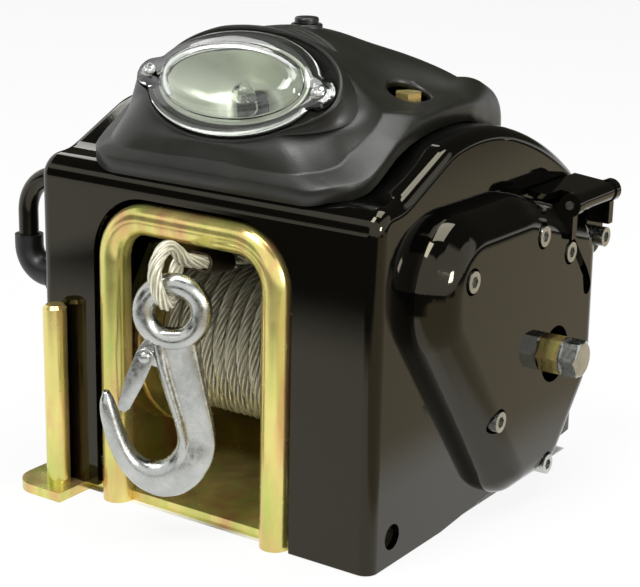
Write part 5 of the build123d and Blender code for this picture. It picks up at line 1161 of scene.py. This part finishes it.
@dataclass
class SafetyHook:
    """Forged hook with a round eye, a thinned shank, a blunt point and a sprung latch, drawn in its own plane.

    The shank's section goes from -1 at its inside to 1 at its back. The latch's nose is listed as how far past the
    tip and how far across, and its web as how far across its two faces are at the nose.
    """

    eye: tuple[float, float, float] = (-0.7, -107.5, 107.2)
    turn: float = 32.0
    ring_radius: float = 12.4
    wire_radius: float = 4.9
    ring_drop: float = 1.0
    eye_steps: int = 64
    wire_sides: int = 24
    half_thick: float = 5.5
    section_power: float = 2.4
    bead: tuple[float, float] = (0.68, 0.32)
    web: float = 3.3
    web_power: float = 6.0
    fillet: float = 0.4
    fillet_power: float = 8.0
    pivot: tuple[float, float] = (-11.8, -20.8)
    tip: tuple[float, float] = (-20.8, -42.4)
    backs: tuple = (
        *((10.0, -9.0), (10.4, -16.0), (12.2, -26.0), (14.8, -38.0), (17.4, -50.0), (18.9, -60.0)),
        *((17.9, -68.5), (12.8, -78.0), (4.0, -84.6), (-6.0, -86.0), (-16.5, -81.0), (-24.3, -71.5)),
        *((-29.3, -59.5), (-31.8, -48.5), (-31.9, -42.0), (-30.4, -37.6)),
    )
    insides: tuple = (
        *((-9.0, -9.0), (-8.6, -16.5), (-6.4, -27.0), (-3.0, -39.0), (0.6, -50.0), (2.2, -57.5)),
        *((1.2, -63.0), (-2.4, -67.3), (-6.8, -69.2), (-11.6, -69.1), (-16.2, -66.0), (-19.4, -60.5)),
        *((-22.0, -53.6), (-24.3, -46.0), (-25.9, -41.0), (-27.8, -37.7)),
    )
    webbed: tuple = (0, 0.7, 1, 1, 1, 1, 0.5, 0, 0, 0, 0, 0, 0, 0, 0, 0)
    thicks: tuple = (0.8, 0.9, 1, 1, 1, 1, 1, 1, 1, 1, 1, 0.97, 0.9, 0.8, 0.68, 0.4)
    spine_steps: int = 90
    side_points: int = 34
    sharp_angle: float = 0.9
    edge_segments: int = 3
    arc_steps: int = 14
    lobe_half: float = 2.0
    lobe_radius: float = 4.2
    lobe_arc: tuple[float, float] = (150.0, 300.0)
    lobe_top: tuple = ((-6.0, -10.0), (-11.5, -12.5))
    lobe_foot: tuple = ((-5.5, -26.0), (-2.0, -20.0))
    lobe_edge: float = 0.5
    latch_half: float = 4.1
    cheek: tuple[float, float] = (2.4, 3.8)
    cheek_bend: float = 11.0
    cheek_nose: tuple = ((1.5, 2.4), (3.2, 1.2), (3.2, -1.6), (0.5, -3.0))
    cheek_edge: float = 0.35
    web_start: float = 7.0
    web_wall: float = 1.3
    web_nose: tuple[float, float] = (2.8, 1.6)
    web_gap: float = 0.2
    web_edge: float = 0.3
    rivet_head: tuple = ((0.4, -4.75), (1.6, -4.6), (2.4, -4.2), (2.6, -3.85), (1.55, -3.85))
    rivet_sides: int = 24

    def axes(self) -> np.ndarray:
        """Directions of the hook's plane: across, up and out towards the viewer, as rows."""
        turn = math.radians(self.turn)
        return np.array([(math.cos(turn), math.sin(turn), 0), (0, 0, 1), (math.sin(turn), -math.cos(turn), 0)])

    def placed(self, points: np.ndarray) -> np.ndarray:
        """Turn points of the hook's plane into points of the part."""
        return np.asarray(points, dtype=float) @ self.axes() + np.array(self.eye)

    def eye_rings(self) -> list[np.ndarray]:
        """Rings of the round eye.

        Returns:
            Rings of the wire, all the way round.
        """
        turn = np.linspace(0, 2 * math.pi, self.wire_sides, endpoint=False)
        far = self.ring_radius + self.wire_radius * np.cos(turn)
        out = self.wire_radius * np.sin(turn)
        rings = []
        for place in np.linspace(0, 2 * math.pi, self.eye_steps, endpoint=False):
            wire = [far * math.cos(place), far * math.sin(place) - self.ring_drop, out]
            rings.append(self.placed(np.column_stack(wire)))
        return rings

    def eased(self, values: tuple, passes: int = 4) -> np.ndarray:
        """Spread listed values evenly over the steps of the spine and smooth them.

        Args:
            values: Numbers, or points, at even steps.
            passes: How often they are smoothed.

        Returns:
            One row for each step.
        """
        rows = np.array(values, dtype=float).reshape(len(values), -1)
        fine = np.linspace(0, len(values) - 1, self.spine_steps)
        spread = np.column_stack([np.interp(fine, np.arange(len(values)), column) for column in rows.T])
        for _ in range(passes):
            spread[1:-1] = (spread[:-2] + 2 * spread[1:-1] + spread[2:]) / 4
        return spread

    def shank_rings(self) -> list[np.ndarray]:
        """Rings of the shank, bowl and point, from the eye to the tip.

        Returns:
            The rings.
        """
        share = -np.cos(np.linspace(0, math.pi, self.side_points))
        out = np.abs(share)
        bead_place, bead_half = self.bead
        full = self.half_thick * (1 - out**self.section_power) ** (1 / self.section_power)
        bead = self.half_thick * np.sqrt(np.maximum(1 - ((share + bead_place) / bead_half) ** 2, 0.0))
        plate = self.web * (1 - out**self.web_power) ** (1 / self.web_power)
        thin = soft_max(bead, plate, self.fillet) - self.fillet / 2 * (1 - out**self.fillet_power)
        rings = []
        for back, inside, web, thick in zip(*map(self.eased, (self.backs, self.insides, self.webbed, self.thicks))):
            half = thick * (full + web * (np.maximum(thin, 0.0) - full))
            line = inside + (1 + share)[:, None] / 2 * (back - inside)
            front = np.column_stack([line, half])
            rear = np.column_stack([line, -half])[-2:0:-1]
            rings.append(self.placed(np.vstack([front, rear])))
        return rings

    def plate(self, name: str, outline: list, low: float, high: float, edge_round: float) -> bpy.types.Mesh:
        """Cut a plate out of sheet, parallel to the hook's plane, with rounded edges.

        Args:
            name: Name of the mesh.
            outline: Points of its outline in the hook's plane.
            low: Distance of its rear face from the plane.
            high: Distance of its front face.
            edge_round: Radius of its edges.

        Returns:
            The mesh.
        """
        shape = bmesh.new()
        corners = [shape.verts.new(Vector(self.placed((*point, low))) * MM) for point in outline]
        made = bmesh.ops.extrude_face_region(shape, geom=[shape.faces.new(corners)])["geom"]
        lifted = [part for part in made if isinstance(part, bmesh.types.BMVert)]
        bmesh.ops.translate(shape, vec=Vector(self.axes()[2] * (high - low)) * MM, verts=lifted)
        bmesh.ops.recalc_face_normals(shape, faces=shape.faces)
        sharp = [edge for edge in shape.edges if edge.calc_face_angle(0.0) > self.sharp_angle]
        rounding = {"offset": edge_round * MM, "affect": "EDGES", "segments": self.edge_segments}
        bmesh.ops.bevel(shape, geom=sharp, profile=0.5, material=-1, **rounding)
        return to_mesh(name, shape)

    def arc(self, radius: float, start: float, end: float) -> list:
        """Points on an arc round the pivot in the hook's plane, in degrees anticlockwise."""
        turns = np.radians(np.linspace(start, end, self.arc_steps))
        return list(radius * np.column_stack([np.cos(turns), np.sin(turns)]) + self.pivot)

    def hook(self) -> bpy.types.Object:
        """Make the forged hook with its eye and the lobe that carries the latch.

        Returns:
            The hook.
        """
        lobe = [*self.lobe_top, *self.arc(self.lobe_radius, *self.lobe_arc), *self.lobe_foot]
        parts = [ring_skin("hook_eye", self.eye_rings(), True), ring_skin("hook_shank", self.shank_rings(), False)]
        parts.append(self.plate("hook_lobe", lobe, -self.lobe_half, self.lobe_half, self.lobe_edge))
        return new_piece("forged_hook", gathered("forged_hook", parts), Look.BRIGHT_ZINC, "hook_set", "hook")

    def latch(self) -> bpy.types.Object:
        """Make the pressed latch: two cheeks on the pivot, joined by a web on the bowl's side.

        Returns:
            The latch.
        """
        pivot, half = np.array(self.pivot), self.latch_half
        way = np.array(self.tip) - pivot
        length = float(np.linalg.norm(way))
        way /= length
        side = np.array((way[1], -way[0]))
        heading = math.degrees(math.atan2(way[1], way[0]))

        def at(along: float, across: float) -> tuple[float, float]:
            """Point of the latch's own axes in the hook's plane."""
            return tuple(pivot + along * way + across * side)

        nose = [at(length + past, across) for past, across in self.cheek_nose]
        cheek = [*self.arc(half, heading + 90, heading + 270), at(self.cheek_bend, half), *nose]
        cheek.append(at(self.cheek_bend, -half))
        low, high = self.cheek
        parts = [self.plate("cheek", cheek, *reach, self.cheek_edge) for reach in ((low, high), (-high, -low))]
        start, wide = self.web_start, high - self.web_gap
        nose = [at(length, -across) for across in self.web_nose]
        web = [at(start, -half), *nose, at(start, self.web_wall - half)]
        parts.append(self.plate("latch_web", web, -wide, wide, self.web_edge))
        return new_piece("pressed_latch", gathered("pressed_latch", parts), Look.BRIGHT_ZINC, "latch", "hook_latch")

    def rivet(self) -> bpy.types.Object:
        """Make the pivot rivet with a domed head on each side.

        Returns:
            The rivet.
        """
        profile = [*self.rivet_head, *[(radius, -level) for radius, level in reversed(self.rivet_head)]]
        rings = [self.placed(ring + (*self.pivot, 0.0)) for ring in turned(profile, self.rivet_sides)]
        mesh = ring_skin("latch_rivet", rings, False)
        return new_piece("latch_rivet", mesh, Look.BRIGHT_ZINC, "hook_set", "latch_pin")

    def build(self) -> None:
        """Make the hook, its latch and their rivet."""
        self.hook()
        self.latch()
        self.rivet()


@dataclass
class WireRope:
    """A wire rope of six strands laid up right-handed round a line."""

    radius: float = 3.15
    strands: int = 6
    lay: float = 36.0
    bevel: int = 1

    def sides(self) -> int:
        """Number of sides of a strand."""
        return 4 + 2 * self.bevel

    def mesh(self, name: str, line: np.ndarray, across: np.ndarray) -> bpy.types.Mesh:
        """Lay the strands round a line.

        Args:
            name: Name of the mesh.
            line: Points of the rope's middle, in millimetres.
            across: A unit vector square to the line at each point.

        Returns:
            A mesh with the map "strand", which goes round each strand in X and along it in Y.
        """
        other = np.cross(headings(line), across)
        length = run_length(line)
        # Six strands round a core of their own size fill the rope, so each is a third of it.
        strand_radius = self.radius / 3
        runs = []
        for strand in range(self.strands):
            turn = (2 * math.pi * (length / self.lay + strand / self.strands))[:, None]
            runs.append((line + 2 * strand_radius * (np.cos(turn) * across + np.sin(turn) * other)) * MM)
        mesh = curve_mesh(name, runs, strand_radius * MM, self.bevel)
        self.map_strands(mesh, length * MM)
        return mesh

    def map_strands(self, mesh: bpy.types.Mesh, length: np.ndarray) -> None:
        """Write the strand map from the order of the tubes' points.

        Args:
            mesh: Mesh of the strands, whose points come ring by ring and strand by strand.
            length: Distance of each ring along the rope, in metres.
        """
        sides = self.sides()
        spots = np.zeros(len(mesh.loops), dtype=np.int32)
        mesh.loops.foreach_get("vertex_index", spots)
        side = spots % sides
        ring = (spots // sides) % len(length)
        last = np.zeros(len(mesh.loops), dtype=bool)
        for face in mesh.polygons:
            corners = slice(face.loop_start, face.loop_start + face.loop_total)
            last[corners] = side[corners].max() - side[corners].min() == sides - 1
        around = np.where(last & (side == 0), sides, side) / sides
        layer = mesh.uv_layers.new(name="strand")
        layer.data.foreach_set("uv", np.column_stack([around, length[ring]]).astype(np.float32).ravel())


@dataclass
class RopeWinding:
    """The two outer layers of rope on the drum."""

    axis: tuple[float, float] = (-11.0, 67.5)
    start_angle: float = 240.0
    left: float = -54.75
    pitch: float = 6.85
    lower_radius: float = 37.0
    upper_radius: float = 43.85
    lower_turns: float = 13.25
    climb_turns: float = 0.25
    upper_turns: float = 3.0
    crossing: float = 5.0
    crossing_turns: float = 0.5
    points_per_turn: int = 110
    rope: WireRope = field(default_factory=WireRope)

    def station(self, turn: float) -> tuple[float, float]:
        """Place of the rope's middle after a number of turns.

        Args:
            turn: Turns from the start of the lower layer.

        Returns:
            Distance from the drum's axis, and X, in millimetres.
        """
        if turn <= self.lower_turns:
            return self.lower_radius, self.left + turn * self.pitch
        foot = self.left + self.lower_turns * self.pitch
        top = foot + self.climb_turns * self.pitch
        share = (turn - self.lower_turns) / self.climb_turns
        if share <= 1:
            rise = smooth_step(share) * (self.upper_radius - self.lower_radius)
            return self.lower_radius + rise, foot + share * (top - foot)
        wound = turn - self.lower_turns - self.climb_turns
        ease = smooth_step(min(wound / self.crossing_turns, 1.0))
        return self.upper_radius, top - ease * self.crossing - max(wound - self.crossing_turns, 0.0) * self.pitch

    def build(self) -> bpy.types.Object:
        """Make the stranded winding in place of the plain one.

        Returns:
            The winding.
        """
        total = self.lower_turns + self.climb_turns + self.upper_turns
        line = []
        across = []
        for turn in np.linspace(0.0, total, int(total * self.points_per_turn)):
            radius, x = self.station(turn)
            angle = math.radians(self.start_angle + 360 * turn)
            out = (0.0, math.cos(angle), math.sin(angle))
            line.append((x, self.axis[0] + radius * out[1], self.axis[1] + radius * out[2]))
            across.append(out)
        mesh = self.rope.mesh("rope_turns", np.array(line), np.array(across))
        return new_piece("rope_turns", mesh, Look.WIRE_ROPE, "drum_set", "rope_winding")


@dataclass
class RopeEnd:
    """The free end of the rope: off the drum, out through the guard, round the hook's eye and back."""

    route: tuple = (
        (7.5, 32.136, 77.589),
        (7.5, 20.631, 107.038),
        (-9.262, -89.421, 123.8),
        (-5.6, -98.6, 125.5),
        (-1.703, -107.686, 108.2),
        (1.2, -118.6, 114.5),
        (-0.9, -120.4, 127.0),
        (-0.9, -112.0, 137.0),
        (-2.9, -101.0, 131.0),
        (-2.691, -94.423, 124.344),
        (1.627, -67.073, 120.227),
    )
    step: float = 1.2
    rope: WireRope = field(default_factory=lambda: WireRope(bevel=2))

    def line(self) -> np.ndarray:
        """Read points at even steps from the route's smooth line.

        Returns:
            The points in millimetres.
        """
        guide = [Vector(point) * MM for point in self.route]
        mesh = curve_mesh("rope_guide", [guide], 0.0, 0, "NURBS")
        rough = np.array([vertex.co for vertex in mesh.vertices]) / MM
        bpy.data.meshes.remove(mesh)
        length = run_length(rough)
        even = np.linspace(0.0, length[-1], int(length[-1] / self.step))
        return np.column_stack([np.interp(even, length, values) for values in rough.T])

    @staticmethod
    def carried(line: np.ndarray) -> np.ndarray:
        """Carry a direction along a line without twist.

        Args:
            line: Points in millimetres.

        Returns:
            A unit vector square to the line at each point.
        """
        way = headings(line)
        side = np.cross(way[0], (0.0, 0.0, 1.0))
        sides = []
        for direction in way:
            side = side - direction * (side @ direction)
            side /= np.linalg.norm(side)
            sides.append(side)
        return np.array(sides)

    def build(self) -> bpy.types.Object:
        """Returns:
            The rope end.
        """
        line = self.line()
        mesh = self.rope.mesh("rope_free_end", line, self.carried(line))
        piece = new_piece("rope_free_end", mesh, Look.WIRE_ROPE, "frame", "rope_end")
        return piece


@dataclass
class Softbox:
    """A lamp with a square soft front that faces the winch."""

    name: str
    place: tuple[float, float, float]
    side: float
    power: float

    def build(self, target: Vector) -> bpy.types.Object:
        """Hang the lamp and turn it to the winch.

        Args:
            target: Point that it faces.

        Returns:
            The lamp.
        """
        data = bpy.data.lights.new(self.name, "AREA")
        data.size = self.side
        data.energy = self.power
        lamp = in_scene(self.name, data)
        lamp.location = self.place
        lamp.rotation_euler = (target - Vector(self.place)).to_track_quat("-Z", "Y").to_euler()
        return lamp


@dataclass
class DarkCard:
    """A dark card with soft edges, which only mirrors see: it gives gloss paint and metal their dark parts.

    Its places are in metres, and soft is the share of the card over which an edge thins out.
    """

    name: str
    middle: tuple[float, float, float]
    half: tuple[float, float]
    facing: tuple[float, float, float]
    soft: float
    shade: str = "403e35"

    def paper(self) -> bpy.types.Material:
        """Make the card's colour, which thins out to nothing at its edges.

        Returns:
            The material.
        """
        paper = bpy.data.materials.new(self.name)
        paper.use_nodes = True
        tree = paper.node_tree
        tree.nodes.remove(tree.nodes["Principled BSDF"])
        axes = add_node(tree, "ShaderNodeSeparateXYZ", {0: add_node(tree, "ShaderNodeTexCoord").outputs["UV"]})
        inward = {}
        for side in (0, 1):
            across = {0: axes.outputs[side], 1: 0.5}
            inward[side] = add_node(tree, "ShaderNodeMath", across, operation="PINGPONG").outputs[0]
        edge = add_node(tree, "ShaderNodeMath", inward, operation="MINIMUM").outputs[0]
        span = {"Value": edge, "From Min": 0.0, "From Max": self.soft}
        thick = add_node(tree, "ShaderNodeMapRange", span, interpolation_type="SMOOTHSTEP").outputs["Result"]
        clear = add_node(tree, "ShaderNodeBsdfTransparent").outputs[0]
        colour = add_node(tree, "ShaderNodeEmission", {"Color": linear(self.shade), "Strength": 1.0}).outputs[0]
        blend = add_node(tree, "ShaderNodeMixShader", {0: thick, 1: clear, 2: colour}).outputs[0]
        tree.links.new(blend, tree.nodes["Material Output"].inputs["Surface"])
        return paper

    def build(self) -> bpy.types.Object:
        """Stand the card up.

        Returns:
            The card.
        """
        turn = Vector(self.facing).to_track_quat("Z", "Y").to_matrix().to_4x4()
        place = Matrix.Translation(Vector(self.middle)) @ turn @ Matrix.Diagonal((*self.half, 1.0, 1.0))
        shape = bmesh.new()
        shape.loops.layers.uv.new("card")
        bmesh.ops.create_grid(shape, x_segments=1, y_segments=1, size=1.0, matrix=place, calc_uvs=True)
        card = in_scene(self.name, to_mesh(self.name, shape, False))
        card.data.materials.append(self.paper())
        for sight in ("camera", "diffuse", "shadow", "transmission"):
            setattr(card, f"visible_{sight}", False)
        return card


@dataclass
class Studio:
    """Camera, pale floor, white ground, soft lamps and dark cards.

    The camera's eye and the ground under the winch are in millimetres, and the lamps and cards in metres. Under is
    the middle of that ground and half its size. The paper has no glow there, as the winch keeps the light off it.
    """

    eye: tuple[float, float, float] = (436.8, -642.5, 316.9)
    yaw: float = 34.08
    drop: float = 16.29
    roll: float = 1.17
    focal: float = 1690.0
    picture_width: float = 640.0
    sensor: float = 36.0
    floor_half: float = 4.0
    floor_white: float = 0.9
    paper_colour: str = "f2f2f0"
    paper_roughness: float = 0.9
    white: str = "ffffff"
    world_strength: float = 0.17
    under: tuple[float, float, float, float] = (-2.5, 7.5, 90.0, 93.0)
    lamps: tuple[Softbox, ...] = (
        Softbox("key softbox", (-0.1, -1.05, 1.9), 0.8, 25.0),
        Softbox("window", (1.7, -0.5, 0.55), 0.35, 15.0),
        Softbox("top softbox", (0.3, 0.1, 1.7), 1.0, 17.0),
        Softbox("rear softbox", (-1.6, 1.2, 1.7), 0.8, 6.0),
    )
    cards: tuple[DarkCard, ...] = (
        DarkCard("dark room in front", (0.35, -1.55, 0.004), (0.75, 1.25), (0, 0, 1), 0.05),
        DarkCard("dark room behind", (-0.6, 2.4, 2.5), (3.4, 2.4), (0, -1, 0), 0.06),
        DarkCard("dark room at the right", (1.6, 1.5, 0.004), (1.2, 1.25), (0, 0, 1), 0.1),
        DarkCard("dark room at the left", (-1.9, -2.6, 0.85), (1.6, 0.8), (0.59, 0.81, 0), 0.08),
        DarkCard("dark ceiling", (0.0, 0.2, 3.2), (3.6, 2.6), (0, 0, -1), 0.06),
        DarkCard("tan floor at the right", (0.925, 0.3, 0.002), (0.8, 1.0), (0, 0, 1), 0.03, "cec2aa"),
        DarkCard("brown table", (1.15, -0.12, 0.003), (0.5, 0.22), (0, 0, 1), 0.2, "6b3f12"),
    )

    def camera(self) -> None:
        """Stand the camera where the photograph was taken from."""
        yaw, drop, roll = (math.radians(angle) for angle in (self.yaw, self.drop, self.roll))
        right = Vector((math.cos(yaw), math.sin(yaw), 0.0))
        up = Vector((-math.sin(yaw) * math.sin(drop), math.cos(yaw) * math.sin(drop), math.cos(drop)))
        ahead = right.cross(up) * -1
        level = right * math.cos(roll) + up * math.sin(roll)
        upright = up * math.cos(roll) - right * math.sin(roll)
        data = bpy.data.cameras.new("photo camera")
        data.sensor_fit = "HORIZONTAL"
        data.sensor_width = self.sensor
        data.lens = self.focal * self.sensor / self.picture_width
        view = in_scene("photo camera", data)
        turn = Matrix((level, upright, -ahead)).transposed().to_4x4()
        view.matrix_world = Matrix.Translation(Vector(self.eye) * MM) @ turn
        bpy.context.scene.camera = view

    @staticmethod
    def seen_ray(tree: bpy.types.NodeTree) -> bpy.types.NodeSocket:
        """Add the test for rays that show the ground: straight, mirrored or through glass.

        Args:
            tree: Node tree that takes the nodes.

        Returns:
            Output socket, 1 for such rays and 0 for the rest.
        """
        path = add_node(tree, "ShaderNodeLightPath")
        seen = path.outputs["Is Camera Ray"]
        for ray in ("Is Glossy Ray", "Is Transmission Ray"):
            either = {0: seen, 1: path.outputs[ray]}
            seen = add_node(tree, "ShaderNodeMath", either, operation="MAXIMUM").outputs[0]
        return seen

    def world(self) -> None:
        """Light the winch evenly from all round, on a white ground."""
        world = bpy.data.worlds.new("white ground")
        world.use_nodes = True
        bpy.context.scene.world = world
        tree = world.node_tree
        span = {"Value": self.seen_ray(tree), "To Min": self.world_strength, "To Max": 1.0}
        strength = add_node(tree, "ShaderNodeMapRange", span).outputs["Result"]
        ground = tree.nodes["Background"]
        ground.inputs["Color"].default_value = linear(self.white)
        tree.links.new(strength, ground.inputs["Strength"])

    def paper(self) -> bpy.types.Material:
        """Make the floor's paper: matt, and white to the eye away from the winch.

        Returns:
            The material.
        """
        paper = bpy.data.materials.new("white paper")
        paper.use_nodes = True
        tree = paper.node_tree
        matt = tree.nodes["Principled BSDF"]
        matt.inputs["Base Color"].default_value = linear(self.paper_colour)
        matt.inputs["Roughness"].default_value = self.paper_roughness
        glow = add_node(tree, "ShaderNodeEmission", {"Color": linear(self.white), "Strength": 1.0}).outputs[0]
        axes = add_node(tree, "ShaderNodeSeparateXYZ", {0: add_node(tree, "ShaderNodeTexCoord").outputs["Object"]})
        covered = 1.0
        for side in (0, 1):
            inside = {0: axes.outputs[side], 1: self.under[side] * MM, 2: self.under[side + 2] * MM}
            within = add_node(tree, "ShaderNodeMath", inside, operation="COMPARE").outputs[0]
            covered = add_node(tree, "ShaderNodeMath", {0: within, 1: covered}, operation="MULTIPLY").outputs[0]
        outside = {0: self.floor_white, 1: covered}
        bare = add_node(tree, "ShaderNodeMath", outside, operation="SUBTRACT", use_clamp=True).outputs[0]
        share = {0: self.seen_ray(tree), 1: bare}
        white = add_node(tree, "ShaderNodeMath", share, operation="MULTIPLY").outputs[0]
        blend = add_node(tree, "ShaderNodeMixShader", {0: white, 1: matt.outputs[0], 2: glow}).outputs[0]
        tree.links.new(blend, tree.nodes["Material Output"].inputs["Surface"])
        return paper

    def floor(self) -> None:
        """Lay the pale floor under the lowest point of the winch."""
        shape = bmesh.new()
        bmesh.ops.create_grid(shape, x_segments=1, y_segments=1, size=self.floor_half)
        bmesh.ops.translate(shape, vec=(0, 0, CAD_BOX[0][2]), verts=shape.verts)
        floor = in_scene("floor", to_mesh("floor", shape, False))
        floor.data.materials.append(self.paper())

    def build(self) -> None:
        """Set up the whole studio."""
        bpy.context.scene.view_settings.view_transform = "Standard"
        self.camera()
        self.world()
        self.floor()
        middle = (Vector(CAD_BOX[0]) + Vector(CAD_BOX[1])) / 2
        for lamp in self.lamps:
            lamp.build(middle)
        for card in self.cards:
            card.build()


def dress_nodes() -> None:
    """Give every node of the frame the finish of its material slot."""
    for name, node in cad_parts.items():
        for place in node.material_slots:
            slot = place.material.name.split(".")[0]
            place.material = Look[slot.upper()].value.material()
        LOG.info("%s dressed", name)


def main() -> None:
    """Build the studio and the winch's pieces."""
    logging.basicConfig(level=logging.INFO, format="%(name)s: %(message)s")
    Studio().build()
    dress_nodes()
    TopCover().build()
    Lamp().build()
    SafetyHook().build()
    RopeWinding().build()
    RopeEnd().build()


if __name__ == "__main__":
    main()
